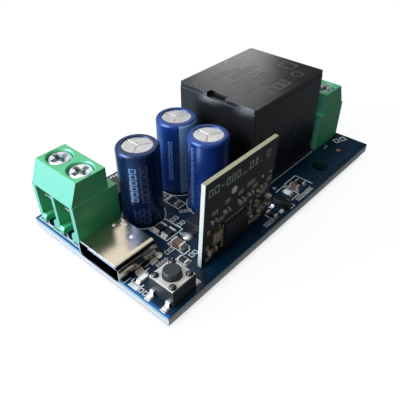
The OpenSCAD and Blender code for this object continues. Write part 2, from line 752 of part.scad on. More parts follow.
module relay_coil_pins() {
    color([0.8, 0.8, 0.8]) relay_frame() for (s = [-1, 1])
        plate(coil_pin_x, s * coil_pin_y, -board_t - pin_drop,
              [coil_pin_w, coil_pin_w, board_t + pin_drop + bobbin_bottom + flange_t]);
}

// Radio board frame: x along the board, y behind its front face, z up the board
module on_radio() {
    on_board(radio_x, radio_y) rotate([radio_lean, 0, 0]) children();
}

module radio_board() {
    color([0.08, 0.08, 0.08]) on_radio() cube([radio_len, radio_t, radio_h]);
}

module radio_chip() {
    color([0.1, 0.1, 0.1]) on_radio()
        translate([4.55, -radio_chip_h, 1]) cube([radio_chip_side, radio_chip_h, radio_chip_side]);
}

module radio_crystal() {
    color([0.8, 0.75, 0.6]) on_radio() translate([1.85, -0.45, 3.45]) cube([1.95, 0.45, 2.15]);
}

// Centre along and up the board, then length, height up the board and thickness
RADIO_PARTS = [[2.05, 8, 1, 0.5, 0.35], [4.7, 8.3, 1, 0.5, 0.5], [7.95, 8.2, 1, 0.5, 0.5],
               [10.2, 8.1, 1, 0.5, 0.5], [2.1, 2.2, 1.6, 0.8, 0.45], [12.2, 7, 0.5, 1, 0.5],
               [13.5, 7.6, 1, 0.5, 0.35], [15.1, 4.1, 0.8, 1.6, 0.8], [12.2, 5, 0.5, 1, 0.35],
               [13.1, 2.4, 0.5, 1, 0.5], [11.3, 2.4, 0.5, 1, 0.35]];

module radio_passives() {
    color([0.45, 0.3, 0.2]) on_radio() for (p = RADIO_PARTS)
        translate([p[0] - p[2] / 2, -p[4], p[1] - p[3] / 2]) cube([p[2], p[4], p[3]]);
}

module radio_pins() {
    color([0.8, 0.75, 0.6]) for (i = [0:radio_pin_count - 1])
        on_board() plate(radio_pin_x(i), radio_pin_y, -board_t - lead_drop,
                         [radio_pin_w, radio_pin_w, board_t + lead_drop + 2.2]);
}

module switch_frame() {
    on_board(button_mid[0], button_mid[1]) children();
}

well_r = 1.75;
dome_z = 1.25;
rivet_at = button_side / 2 - 0.62;

module switch_base() {
    color([0.08, 0.08, 0.08]) switch_frame() {
        difference() {
            plate(0, 0, 0.1, [button_side, button_side, button_base_h - 0.1]);
            translate([0, 0, dome_z]) cylinder(r = well_r, h = button_base_h);
        }
        for (x = [-1, 1]) for (y = [-1, 1]) translate([x * rivet_at, y * rivet_at, button_base_h - 0.01]) {
            cylinder(r = 0.32, h = button_cover_t + 0.02);
            translate([0, 0, button_cover_t + 0.01]) cylinder(r1 = 0.5, r2 = 0.32, h = 0.28);
        }
    }
}

module switch_cover() {
    side = button_side - 0.1;
    color([0.7, 0.68, 0.62]) switch_frame() difference() {
        plate(0, 0, cover_z, [side, side, button_cover_t]);
        translate([0, 0, cover_z - cut]) cylinder(d = plunger_d + 2 * plunger_clearance, h = 3);
        for (x = [-1, 1]) for (y = [-1, 1]) translate([x * rivet_at, y * rivet_at, cover_z - cut])
            cylinder(r = 0.34, h = 3);
    }
}

module switch_plunger() {
    flange_h = 0.3;
    color([0.06, 0.06, 0.06]) switch_frame() {
        translate([0, 0, cover_z - flange_h - 0.02]) cylinder(r = well_r - 0.1, h = flange_h);
        translate([0, 0, cover_z - flange_h]) cylinder(d = plunger_d, h = cover_top + plunger_out - 0.15 - cover_z + flange_h);
        translate([0, 0, cover_top + plunger_out - 0.15])
            cylinder(d1 = plunger_d, d2 = plunger_d - 0.3, h = 0.15);
        translate([0, 0, dome_z + 0.4 + plunger_travel + 0.05])
            cylinder(r = 0.7, h = cover_z - dome_z - 0.4 - plunger_travel - 0.05 - flange_h);
    }
}

module switch_dome() {
    rise = 0.38;
    r = well_r - 0.1;
    sphere_r = (r * r + rise * rise) / (2 * rise);
    color([0.8, 0.8, 0.8]) switch_frame() translate([0, 0, dome_z]) intersection() {
        translate([0, 0, rise - sphere_r]) difference() {
            sphere(sphere_r);
            sphere(sphere_r - 0.08);
        }
        cylinder(r = r, h = 1);
    }
}

module switch_legs() {
    leg_w = 0.7;
    leg_t = 0.2;
    reach = 1;
    color([0.8, 0.8, 0.8]) switch_frame() for (s = [-1, 1]) for (y = [-1.5, 1.5]) scale_x(s)
        translate([button_side / 2, y + leg_w / 2, 0]) rotate([90, 0, 0]) linear_extrude(leg_w)
            polygon([[0, 0.9], [0.35, 0.9], [0.55, leg_t], [reach, leg_t], [reach, 0], [0.4, 0],
                     [0.2, 0.7], [0, 0.7]]);
}

module scale_x(s) {
    rotate([0, 0, s > 0 ? 0 : 180]) children();
}

module inductor() {
    side = inductor_side;
    corner = 0.5;
    color([0.25, 0.22, 0.2]) on_board(term_edge_gap + term_depth + 1.1 + side / 2, supply_y + 4.7) {
        linear_extrude(inductor_h) translate([-side / 2, -side / 2])
            polygon([[corner, 0], [side - corner, 0], [side, corner], [side, side - corner],
                     [side - corner, side], [corner, side], [0, side - corner], [0, corner]]);
    }
}

// The diode, its leads folded under its body
module diode() {
    lead_w = 1.45;
    lead_t = 0.25;
    color([0.08, 0.08, 0.08]) on_board(diode_at[0], diode_at[1]) {
        plate(0, 0, 0.1, [diode_len, diode_w, diode_h - 0.1]);
        for (s = [-1, 1]) plate(s * (diode_len / 2 + 0.35), 0, 0, [0.9, lead_w, lead_t]);
    }
}

module transistor() {
    color([0.08, 0.08, 0.08]) on_board(relay_x + 2.3, 2.05) {
        plate(0, 0, 0.1, [1.3, 2.9, 0.95]);
        for (p = [[-1, -0.95], [-1, 0.95], [1, 0]]) plate(p[0] * 0.9, p[1], 0, [0.7, 0.4, 0.15]);
    }
}

module chip_part(x, y, along_y, size) {
    on_board(x, y) rotate([0, 0, along_y ? 90 : 0]) plate(0, 0, 0, size);
}

module status_leds() {
    color([0.85, 0.85, 0.75]) {
        chip_part(2.45, led_y, false, small_chip);
        chip_part(relay_x + 5.6, chip_row_y, true, small_chip);
    }
}

module resistors() {
    color([0.1, 0.1, 0.1]) {
        for (p = [pair_at, pair_at + [-0.1, 1.75]]) chip_part(p[0], p[1], false, large_chip);
        chip_part(between_x, relay_y + 1.12, true, large_chip);
        chip_part(button_x + button_side + 2.71, button_far + 0.46, true, small_chip);
        chip_part(relay_x + 9.6, chip_row_y, true, small_chip);
        chip_part(relay_x - 1, 1.75, true, small_chip);
    }
}

module chip_capacitors() {
    color([0.45, 0.28, 0.18]) {
        chip_part(diode_at[0] - 5.3, pair_at[1] - 3.05, true, [large_chip[0], large_chip[1], 1]);
        chip_part(relay_x + 7.65, chip_row_y, true, [small_chip[0], small_chip[1], 0.8]);
    }
}

module solder_cone(x, y, r) {
    on_board(x, y, -board_t - solder_h) difference() {
        cylinder(r1 = r * 0.75, r2 = r + solder_foot, h = solder_h);
        translate([0, 0, -cut]) children();
    }
}

module solder_joints() {
    color([0.75, 0.76, 0.78]) {
        for (p = PIN_SITES) solder_cone(p[0], p[1], hole_r(p[2], p[3]))
            plate(0, 0, 0, [p[2] + 0.02, p[3] + 0.02, solder_h + 2 * cut]);
        for (p = LEAD_SITES) solder_cone(p[0], p[1], lead_d / 2 + 0.15)
            cylinder(d = lead_d + 0.02, h = solder_h + 2 * cut);
        for (x = USB_LEG_X) for (y = [usb_y + usb_sheet / 2, usb_y + usb_w - usb_sheet / 2])
            solder_cone(x - usb_overhang, y, 0.75)
                plate(0, 0, 0, [usb_leg_w + 0.02, usb_sheet + 0.02, solder_h + 2 * cut]);
    }
}

main_board();
supply_terminal_body();
supply_screw(0);  // supply_screw_1
supply_screw(1);  // supply_screw_2
supply_clamp(0);  // supply_clamp_1
supply_clamp(1);  // supply_clamp_2
supply_contacts();
output_terminal_body();
output_screw(0);  // output_screw_1
output_screw(1);  // output_screw_2
output_screw(2);  // output_screw_3
output_clamp(0);  // output_clamp_1
output_clamp(1);  // output_clamp_2
output_clamp(2);  // output_clamp_3
output_contacts();
usb_shell();
usb_tongue();
usb_contacts();
capacitor_sleeve(0);  // capacitor_1_sleeve
capacitor_sleeve(1);  // capacitor_2_sleeve
capacitor_sleeve(2);  // capacitor_3_sleeve
capacitor_can(0);  // capacitor_1_can
capacitor_can(1);  // capacitor_2_can
capacitor_can(2);  // capacitor_3_can
capacitor_bung(0);  // capacitor_1_bung
capacitor_bung(1);  // capacitor_2_bung
capacitor_bung(2);  // capacitor_3_bung
capacitor_winding(0);  // capacitor_1_winding
capacitor_winding(1);  // capacitor_2_winding
capacitor_winding(2);  // capacitor_3_winding
capacitor_leads();
relay_case();
relay_lid();
relay_base();
relay_bobbin();
relay_coil();
relay_core();
relay_yoke();
relay_armature();
relay_contact_spring();
relay_no_contact();
relay_nc_contact();
relay_coil_pins();
radio_board();
radio_chip();
radio_crystal();
radio_passives();
radio_pins();
switch_base();
switch_cover();
switch_plunger();
switch_dome();
switch_legs();
inductor();
diode();
transistor();
status_leds();
resistors();
chip_capacitors();
solder_joints();
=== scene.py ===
# %% [markdown]
# # A smart relay module, seen as in its photograph
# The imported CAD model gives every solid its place. This script adds the looks: a camera, soft
# light, procedural materials for all 60 nodes, and the thin things that lie on the boards, such as
# printed outlines, copper and solder. Lengths are in millimetres from the board's own corner, as a
# designer reads them, and `at()` turns them into the frame's metres.

# %% Load the frame
import json
import math

import bpy
import numpy as np
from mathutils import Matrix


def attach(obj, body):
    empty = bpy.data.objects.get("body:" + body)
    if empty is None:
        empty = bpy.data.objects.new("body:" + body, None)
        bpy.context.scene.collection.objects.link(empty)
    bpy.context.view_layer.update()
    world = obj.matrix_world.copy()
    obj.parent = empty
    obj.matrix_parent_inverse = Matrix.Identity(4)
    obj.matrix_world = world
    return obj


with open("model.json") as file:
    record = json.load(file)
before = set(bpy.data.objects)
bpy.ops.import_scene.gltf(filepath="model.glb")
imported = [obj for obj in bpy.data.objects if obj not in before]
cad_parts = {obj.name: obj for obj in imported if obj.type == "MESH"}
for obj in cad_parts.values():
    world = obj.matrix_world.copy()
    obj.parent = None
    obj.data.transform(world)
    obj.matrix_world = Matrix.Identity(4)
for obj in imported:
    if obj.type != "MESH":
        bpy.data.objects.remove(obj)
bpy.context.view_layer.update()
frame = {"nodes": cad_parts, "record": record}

MM = 0.001
LENGTH, WIDTH, THICK = 56.5, 30.3, 1.6  # the circuit board
CORNER = np.array([-28.04, -15.15, 2.9])  # its near corner at the socket end, top face


def at(points):
    """Board millimetres (n, 3) to the frame's metres."""
    return (np.asarray(points, float) + CORNER) * MM


# %% [markdown]
# ## Camera
# A camera can be placed by eye, but a close one bends the picture so much that small errors show.
# So this one was fitted to some sixty corners that can be found both in the photograph and in the
# model. It stands 67 mm in front of the module: the near corner spreads, and the far one shrinks.

# %% Camera
camera = bpy.data.objects.new("camera", bpy.data.cameras.new("camera"))
bpy.context.collection.objects.link(camera)
camera.location = (-0.054196, -0.043729, 0.053431)
camera.rotation_euler = (0.895588, 0.000527, -0.847416)
camera.data.lens = 42.705
camera.data.sensor_width = 36.0
camera.data.clip_start = 0.001
bpy.context.scene.camera = camera
bpy.context.scene.view_settings.view_transform = "Standard"
print("camera lens", camera.data.lens)

# %% [markdown]
# ## Light and floor
# Daylight comes from the socket end: faces that look there are bright and a little blue, and the
# long near faces are dark. A sky texture could give that, but three lamps are easier to steer: a
# large key, a weaker one above that fills the tops, and a small far one that lays the sheen on the
# relay's lid. The world gives gloss something to mirror, brighter and bluer towards the key. World
# and floor show plain white to the camera, and glossy pieces mirror the white floor on its lit
# side only. The floor keeps a share of its own shading, so that the module's shadow stays on it.
# Under the board it is painted near black for the camera, as painted shade. From below it is clear.


# %% Node helpers
def feed(tree, socket, value):
    """Links another node's output to a socket, or sets a plain value on it."""
    if isinstance(value, bpy.types.NodeSocket):
        tree.links.new(value, socket)
    else:
        socket.default_value = value


def add(tree, kind, props=None, **inputs):
    """One shader node. An input is named with _ for a space, or _0, _1 for its place."""
    node = tree.nodes.new("ShaderNode" + kind)
    for key, value in (props or {}).items():
        setattr(node, key, value)
    for key, value in inputs.items():
        feed(tree, node.inputs[int(key[1:]) if key[1:].isdigit() else key.replace("_", " ")], value)
    return node


def math_node(tree, operation, a, b=0.0, clamp=False):
    return add(tree, "Math", {"operation": operation, "use_clamp": clamp}, _0=a, _1=b).outputs[0]


def times(tree, a, b):
    return math_node(tree, "MULTIPLY", a, b)


def rgba(colour):
    """A colour's three values, with an alpha of 1 after them."""
    return tuple(colour) + (1.0,) * (4 - len(colour))


def mix_colour(tree, factor, a, b):
    """Colour a where the factor is 0, and b where it is 1."""
    node = add(tree, "Mix", {"data_type": "RGBA", "clamp_factor": True})
    for place, value in ((0, factor), (6, a), (7, b)):
        feed(tree, node.inputs[place], rgba(value) if isinstance(value, tuple) else value)
    return node.outputs[2]


def ramp(tree, value, low, high, out_low=0.0, out_high=1.0):
    """Maps low..high to out_low..out_high, eased at both ends."""
    return add(tree, "MapRange", {"interpolation_type": "SMOOTHSTEP"}, Value=value, From_Min=low,
               From_Max=high, To_Min=out_low, To_Max=out_high).outputs[0]


def object_place(tree):
    """Object coordinates: every piece sits at the origin, so these are the frame's own metres."""
    return add(tree, "TexCoord").outputs["Object"]


print("a colour with its alpha", rgba((0.2, 0.4, 0.6)))

# %% World
BRIGHT_WAY = (-0.74, 0.40, 0.54)  # towards the key lamp
world = bpy.data.worlds.new("studio")
bpy.context.scene.world = world
world.use_nodes = True
tree = world.node_tree
tree.nodes.clear()
way = add(tree, "TexCoord").outputs["Generated"]
towards = add(tree, "VectorMath", {"operation": "DOT_PRODUCT"}, _0=way, _1=BRIGHT_WAY)
level = ramp(tree, towards.outputs["Value"], -0.35, 0.95, 0.02, 0.75)
tint = mix_colour(tree, level, (1.0, 0.98, 0.95), (0.84, 0.95, 1.10))
soft = add(tree, "Background", Color=tint, Strength=level)
plain = add(tree, "Background", Color=rgba((1.0, 1.0, 1.0)), Strength=1.0)
seen = add(tree, "LightPath").outputs["Is Camera Ray"]
both = add(tree, "MixShader", _0=seen, _1=soft.outputs[0], _2=plain.outputs[0])
add(tree, "OutputWorld", Surface=both.outputs[0])
print("world", world.name, "with", len(tree.nodes), "nodes")


# %% Lamps
def lamp(name, place, aim, size, power, colour):
    """A square lamp at place. It is turned so that its own -Z looks at aim."""
    data = bpy.data.lights.new(name, "AREA")
    data.shape, data.size, data.energy, data.color = "SQUARE", size, power, colour
    thing = bpy.data.objects.new(name, data)
    bpy.context.collection.objects.link(thing)
    thing.location = place
    way = np.array(aim) - np.array(place)
    way = way / np.linalg.norm(way)
    thing.rotation_euler = (math.acos(-way[2]), 0.0, math.atan2(way[1], way[0]) - math.pi / 2)
    return thing


key = lamp("key", (-0.31, 0.15, 0.19), (0, 0, 0.008), 0.30, 3.15, (0.78, 0.85, 1.0))
top = lamp("top", (0.06, 0.16, 0.42), (0, 0, 0.01), 0.60, 1.1, (0.97, 0.98, 1.0))
sheen = lamp("sheen", (0.133, 0.100, 0.070), (0.010, 0.002, 0.019), 0.04, 0.014,
             (1.0, 0.99, 0.97))
print("lamps", [thing.data.energy for thing in (key, top, sheen)])

# %% Floor plane
FAR, FLOOR_Z = 3.0, -0.00002  # metres: its edge, and a hair under the pins
floor_mesh = bpy.data.meshes.new("floor")
corners = [(-FAR, -FAR, FLOOR_Z), (FAR, -FAR, FLOOR_Z), (FAR, FAR, FLOOR_Z), (-FAR, FAR, FLOOR_Z)]
floor_mesh.from_pydata(corners, [], [(0, 1, 2, 3)])
floor = bpy.data.objects.new("floor", floor_mesh)
bpy.context.collection.objects.link(floor)
print("floor", 2 * FAR, "metres wide")


# %% Floor material
def blank_material(name):
    material = bpy.data.materials.new(name)
    material.use_nodes = True
    material.node_tree.nodes.clear()
    return material, material.node_tree


material, tree = blank_material("floor")
path = add(tree, "LightPath")
seen = path.outputs["Is Camera Ray"]
place = object_place(tree)
x, y, z = add(tree, "SeparateXYZ", Vector=place).outputs
out_x = ramp(tree, math_node(tree, "ABSOLUTE", x), 0.0255, 0.0285)  # 0 under the board
out_y = ramp(tree, math_node(tree, "ABSOLUTE", y), 0.0125, 0.0155)
open_floor = math_node(tree, "MAXIMUM", out_x, out_y)
# Under the board's footprint the floor is painted near black for the camera: painted shade, seen
# through the board's holes and the gap beneath it.
paper_and_painted_shade = mix_colour(tree, open_floor, (0.02, 0.024, 0.028), (0.86, 0.86, 0.85))
shade = add(tree, "BsdfDiffuse", Color=mix_colour(tree, seen, (0.12, 0.12, 0.12), paper_and_painted_shade))
glow = mix_colour(tree, seen, (0.62, 0.84, 1.0), (1.0, 1.0, 1.0))
white = add(tree, "Emission", Color=glow, Strength=1.0)
lit_side = math_node(tree, "SUBTRACT", times(tree, y, 0.8), times(tree, x, 0.6))
mirrored = times(tree, path.outputs["Is Glossy Ray"], ramp(tree, lit_side, -0.005, 0.03, 0.03, 0.9))
away = add(tree, "VectorMath", {"operation": "LENGTH"}, _0=place).outputs["Value"]
plain_white = times(tree, seen, ramp(tree, away, 0.05, 0.13, 0.94, 1.0))
share = times(tree, math_node(tree, "MAXIMUM", plain_white, mirrored), open_floor)
both = add(tree, "MixShader", _0=share, _1=shade.outputs[0], _2=white.outputs[0])
from_below = add(tree, "NewGeometry").outputs["Backfacing"]
clear = add(tree, "BsdfTransparent")
both = add(tree, "MixShader", _0=from_below, _1=both.outputs[0], _2=clear.outputs[0])
add(tree, "OutputMaterial", Surface=both.outputs[0])
floor_mesh.materials.append(material)
print("floor material with", len(tree.nodes), "nodes")

# %% [markdown]
# ## Shared looks
# Real surfaces are never one colour. Each material could carry its own noise and wear nodes, but
# what they share is built once, as three small groups: `surface` drifts the colour and the gloss
# and adds a fine bump over edges that are rounded for the light only, `specks` gives grains of
# dust, and `edges` marks sharp edges, where paint thins and plastic catches light.


# %% Helpers for groups
def new_group(name, inputs, outputs):
    """A shader node group with named inputs and outputs."""
    group = bpy.data.node_groups.new(name, "ShaderNodeTree")
    for label, kind, value in inputs:
        socket = group.interface.new_socket(label, in_out="INPUT", socket_type="NodeSocket" + kind)
        socket.default_value = value
    for label, kind in outputs:
        group.interface.new_socket(label, in_out="OUTPUT", socket_type="NodeSocket" + kind)
    given = group.nodes.new("NodeGroupInput").outputs
    return group, given, group.nodes.new("NodeGroupOutput").inputs


def clouds(tree, place, scale, detail, **more):
    """Soft random clouds from 0 to 1, finer with a larger scale."""
    return add(tree, "TexNoise", Vector=place, Scale=scale, Detail=detail, **more).outputs[0]


print("node groups so far", len(bpy.data.node_groups))

# %% The surface group
SURFACE, given, result = new_group("surface", [
    ("Color", "Color", (0.5, 0.5, 0.5, 1)), ("Second", "Color", (0.4, 0.4, 0.4, 1)),
    ("Spread", "Float", 0.4), ("Size", "Float", 1.0), ("Rough", "Float", 0.4),
    ("Rough Spread", "Float", 0.1), ("Bump", "Float", 0.1), ("Edge", "Float", 0.1)],
    [("Color", "Color"), ("Roughness", "Float"), ("Normal", "Vector")])
place = object_place(SURFACE)
scale = math_node(SURFACE, "DIVIDE", 1000.0, given["Size"])
cloud = clouds(SURFACE, place, scale, 3.0, Roughness=0.6)
share = times(SURFACE, ramp(SURFACE, cloud, 0.3, 0.7), given["Spread"])
feed(SURFACE, result["Color"], mix_colour(SURFACE, share, given["Color"], given["Second"]))
fine = clouds(SURFACE, place, times(SURFACE, scale, 3.7), 4.0)
drift = times(SURFACE, math_node(SURFACE, "SUBTRACT", fine, 0.5), given["Rough Spread"])
feed(SURFACE, result["Roughness"], math_node(SURFACE, "ADD", given["Rough"], drift, True))
rounded = add(SURFACE, "Bevel", {"samples": 6}, Radius=times(SURFACE, given["Edge"], MM))
grain = add(SURFACE, "Bump", Strength=given["Bump"], Distance=0.00005, Height=fine,
            Normal=rounded.outputs[0])
feed(SURFACE, result["Normal"], grain.outputs[0])
print("group", SURFACE.name)

# %% The specks and edges groups
SPECKS, given, result = new_group("specks", [("Size", "Float", 1.0), ("Share", "Float", 0.3)],
                                  [("Mask", "Float")])
cells = add(SPECKS, "TexVoronoi", Vector=object_place(SPECKS),
            Scale=math_node(SPECKS, "DIVIDE", 1000.0, given["Size"]))
near = ramp(SPECKS, cells.outputs["Distance"], 0.10, 0.05)
number = add(SPECKS, "SeparateColor", Color=cells.outputs["Color"]).outputs[0]
chosen = math_node(SPECKS, "LESS_THAN", number, given["Share"])
feed(SPECKS, result["Mask"], times(SPECKS, near, chosen))

EDGES, given, result = new_group("edges", [("Radius", "Float", 0.1)], [("Mask", "Float")])
flat = add(EDGES, "NewGeometry").outputs["Normal"]
rounded = add(EDGES, "Bevel", {"samples": 6}, Radius=times(EDGES, given["Radius"], MM)).outputs[0]
same = add(EDGES, "VectorMath", {"operation": "DOT_PRODUCT"}, _0=rounded, _1=flat)
feed(EDGES, result["Mask"], ramp(EDGES, same.outputs["Value"], 0.995, 0.80))
print("groups", SPECKS.name, EDGES.name)


# %% The material maker
def use_group(tree, group, **inputs):
    """Places a shared group in a material, with that material's own values."""
    node = tree.nodes.new("ShaderNodeGroup")
    node.node_tree = group
    for key, value in inputs.items():
        feed(tree, node.inputs[key.replace("_", " ")], value)
    return node.outputs


def look(name, colour, second=None, spread=0.5, size=1.5, rough=0.4, rough_spread=0.12, bump=0.15,
         edge=0.08, metallic=0.0, coat=0.0, gloss=0.5, tint=(1.0, 1.0, 1.0), dust=0.0, grain=1.7,
         rub=None, paint=None):
    """A finished material: base and second colour that drift into each other, gloss, fine bump,
    edges in another colour and strength, which are wear on most looks and a painted highlight on
    the green, dust with its `grain` apart, and `paint(tree, colour)` for what is printed on it and
    for painted light and shade."""
    material, tree = blank_material(name)
    second = second or tuple(c * 0.7 for c in colour)
    out = use_group(tree, SURFACE, Color=rgba(colour), Second=rgba(second), Spread=spread,
                    Size=size, Rough=rough, Rough_Spread=rough_spread, Bump=bump, Edge=edge)
    shade = out["Color"]
    if rub:
        worn_and_lit_edges = use_group(tree, EDGES, Radius=max(edge, 0.08))["Mask"]
        shade = mix_colour(tree, times(tree, worn_and_lit_edges, rub[1]), shade, rub[0])
    if paint:
        shade = paint(tree, shade)
    if dust:
        grains = use_group(tree, SPECKS, Size=grain, Share=dust)["Mask"]
        shade = mix_colour(tree, times(tree, grains, 0.55), shade, (0.7, 0.72, 0.75))
    shader = add(tree, "BsdfPrincipled", Base_Color=shade, Roughness=out["Roughness"],
                 Normal=out["Normal"], Metallic=metallic, Specular_IOR_Level=gloss,
                 Specular_Tint=rgba(tint), Coat_Weight=coat, Coat_Roughness=0.08)
    add(tree, "OutputMaterial", Surface=shader.outputs[0])
    return material


print("a look is made of the groups", [group.name for group in (SURFACE, EDGES, SPECKS)])

# %% Looks by slot
LOOKS = {}


def slot_look(name, *colours, **values):
    """A look kept under the name of the CAD model's material slot."""
    LOOKS[name] = look(name, *colours, **values)


print("looks so far", len(LOOKS))


# %% Places and directions on a piece
def facing(tree, axis):
    """How much a surface looks along an axis of the object, either way: 0 to 1."""
    normal = add(tree, "SeparateXYZ", Vector=add(tree, "TexCoord").outputs["Normal"]).outputs[axis]
    return math_node(tree, "ABSOLUTE", normal)


def frame_mm(tree):
    """Object coordinates in millimetres from the board's corner: x, y and z sockets."""
    scaled = add(tree, "VectorMath", {"operation": "SCALE"}, _0=object_place(tree), Scale=1000.0)
    moved = add(tree, "VectorMath", {"operation": "SUBTRACT"}, _0=scaled.outputs[0],
                _1=tuple(CORNER))
    return add(tree, "SeparateXYZ", Vector=moved.outputs[0]).outputs


def band(tree, value, middle, half, soft=0.02):
    """1 where value is within half of middle."""
    gap = math_node(tree, "ABSOLUTE", math_node(tree, "SUBTRACT", value, middle))
    return ramp(tree, gap, half + soft, half - soft)


print("the corner in metres", at([(0, 0, 0)])[0].round(5))

# %% [markdown]
# ## The circuit board
# Blue solder mask lies on both faces, and the sawn edges show the pale glass fibre between them,
# with a bright line where the mask ends. The fibre is painted lighter towards the bottom of an
# edge, as painted light from the floor; a strip of the top at the lit end is painted a brighter
# blue, as a painted highlight; and the walls of the holes are painted dark, as painted shade. The
# edges could be pieces of their own, but one material that asks which way a face looks, and how
# deep it lies, paints them exactly. The upright radio board is black, with yellowish fibre on its
# upper edge.


# %% Board materials
def paint_board(tree, colour):
    """From the top down, a sawn edge is a blue lip, pale fibre and a blue foot."""
    x, y, z = frame_mm(tree)
    side = ramp(tree, facing(tree, 2), 0.7, 0.4)
    fibres = clouds(tree, object_place(tree), 4000.0, 2.0)
    # Lower on a sawn edge the fibre is painted lighter: painted light from the floor below.
    down = ramp(tree, z, -0.30, -1.35)
    short_side = mix_colour(tree, down, (0.28, 0.39, 0.38), (0.64, 0.61, 0.56))
    long_side = mix_colour(tree, down, (0.56, 0.58, 0.52), (0.92, 0.91, 0.84))
    fibre = mix_colour(tree, ramp(tree, facing(tree, 1), 0.4, 0.7), short_side, long_side)
    fibre = mix_colour(tree, times(tree, ramp(tree, fibres, 0.35, 0.65), 0.25), fibre,
                       (0.25, 0.30, 0.28))
    lip = ramp(tree, z, -0.26, -0.16)
    foot = ramp(tree, z, -1.42, -1.52)
    edge = mix_colour(tree, math_node(tree, "MAXIMUM", lip, foot), fibre, (0.012, 0.15, 0.36))
    # Inside the holes the walls are painted dark blue-grey: painted shade.
    in_x = band(tree, x, LENGTH / 2, LENGTH / 2 - 0.15)
    in_y = band(tree, y, WIDTH / 2, WIDTH / 2 - 0.15)
    edge = mix_colour(tree, times(tree, in_x, in_y), edge, (0.010, 0.022, 0.028))  # in the holes
    # A strip of the top face at the socket end is painted a brighter blue: a painted highlight
    # where the key lamp lights the mask's edge.
    colour = mix_colour(tree, ramp(tree, x, 0.50, 0.28), colour, (0.004, 0.085, 0.22))
    return mix_colour(tree, side, colour, edge)


def paint_radio(tree, colour):
    side = ramp(tree, facing(tree, 1), 0.85, 0.6)
    fibres = clouds(tree, object_place(tree), 3000.0, 2.0)
    fibre = mix_colour(tree, fibres, (0.44, 0.47, 0.40), (0.64, 0.68, 0.60))
    fibre = mix_colour(tree, ramp(tree, facing(tree, 2), 0.6, 0.9), fibre, (0.27, 0.27, 0.15))
    return mix_colour(tree, side, colour, fibre)


slot_look("blue_solder_mask", (0.0020, 0.017, 0.038), (0.0014, 0.0092, 0.020), size=6.0, rough=0.30,
          rough_spread=0.15, bump=0.10, edge=0.06, gloss=0.25, paint=paint_board, dust=0.04)
slot_look("radio_mask", (0.013, 0.013, 0.013), (0.022, 0.021, 0.018), size=3.0, rough=0.42,
          bump=0.15, paint=paint_radio, dust=0.05)
print("board looks", list(LOOKS))

# %% [markdown]
# ## The capacitors' sleeves
# A sleeve is plastic film shrunk over the can: glossy, deep blue, with columns of plain boxes and,
# on one, its pale stripe in view. Printing could be thin pieces on the film, but the film is
# round, so here the material works out the angle round the can and the height, and colours what
# lies between two angles. Hollow boxes are a larger box less a smaller one.


# %% Sleeve print
CAPS = [(12.2, 17.6), (22.2, 19.2), (21.4, 11.7)]  # the capacitors' centres
OPEN_SHARE, BOX_LINE = 0.56, 0.15  # the open share of a box's width, and its line


def sleeve_print(centre, stripe, columns):
    """Paints a stripe (middle and half width in degrees) and columns of plain hollow boxes (angle,
    half width, lowest, highest, pitch, share of the pitch that is filled, colour)."""
    def paint(tree, colour):
        x, y, z = frame_mm(tree)
        dx = math_node(tree, "SUBTRACT", x, centre[0])
        dy = math_node(tree, "SUBTRACT", y, centre[1])
        turn = math_node(tree, "ARCTAN2", dy, dx)
        if stripe:
            inside = band(tree, turn, math.radians(stripe[0]), math.radians(stripe[1]))
            inside = times(tree, inside, ramp(tree, z, 13.35, 13.25))
            colour = mix_colour(tree, inside, colour, (0.20, 0.32, 0.46))
        for angle, half, low, high, pitch, fill, tint in columns:
            angle, half = math.radians(angle), math.radians(half)
            along = math_node(tree, "FRACT", math_node(tree, "DIVIDE", z, pitch))
            outer = times(tree, band(tree, turn, angle, half),
                          band(tree, along, fill / 2, fill / 2))
            inner = times(tree, band(tree, turn, angle, half * OPEN_SHARE),
                          band(tree, along, fill / 2, fill / 2 - BOX_LINE / pitch))
            hollow = math_node(tree, "SUBTRACT", outer, inner, True)
            hollow = times(tree, hollow, band(tree, z, (low + high) / 2, (high - low) / 2))
            colour = mix_colour(tree, hollow, colour, tint)
        return colour
    return paint


PALE, FAINT = (0.13, 0.25, 0.44), (0.040, 0.060, 0.105)
PRINTS = [
    (None, [(-149, 9.5, 5.2, 11.4, 1.05, 0.80, PALE), (-121, 10.5, 5.0, 11.8, 1.10, 0.82, FAINT),
            (-146, 9.5, 0.8, 3.8, 1.05, 0.80, FAINT), (-121, 10.5, 0.8, 4.0, 1.10, 0.82, FAINT)]),
    ((-93, 37), [(-156, 6.0, 3.0, 10.8, 0.9, 0.76, PALE)]),
    (None, [(176, 7.0, 1.5, 12.6, 0.9, 0.76, PALE)])]
# The first sleeve's film is darker than the other two: painted shade, where the green terminal
# keeps the key light off it.
FILM_AND_PAINTED_SHADE = [((0.0025, 0.010, 0.052), (0.0016, 0.0055, 0.022)),
        ((0.004, 0.028, 0.155), (0.002, 0.013, 0.068)),
        ((0.004, 0.026, 0.145), (0.002, 0.012, 0.062))]
SLEEVES = [look("blue_sleeve_%d" % (i + 1), *FILM_AND_PAINTED_SHADE[i], spread=0.6, size=3.0, rough=0.26,
                rough_spread=0.12, bump=0.06, edge=0.05, coat=0.06, gloss=0.85,
                tint=(0.40, 0.60, 1.0), dust=0.06, paint=sleeve_print(CAPS[i], *PRINTS[i]))
           for i in range(3)]
print("sleeves", [material.name for material in SLEEVES])

# %% [markdown]
# ## Plastics
# The terminals are moulded green. Their ends are painted more minty and their edges a brighter
# green, as painted light from the key. The relay is black with a fine grain, and the small
# mouldings are satin black. One colour each would look like a toy, so each look drifts between two
# colours, and on the black ones the edges are paler where hands and tools wear them.


# %% Plastic materials
def paint_green_lit_ends(tree, colour):
    """Faces that look along the board's length are painted more minty: painted light from the
    bluish key.
    """
    return mix_colour(tree, ramp(tree, facing(tree, 0), 0.45, 0.95), colour, (0.115, 0.43, 0.29))
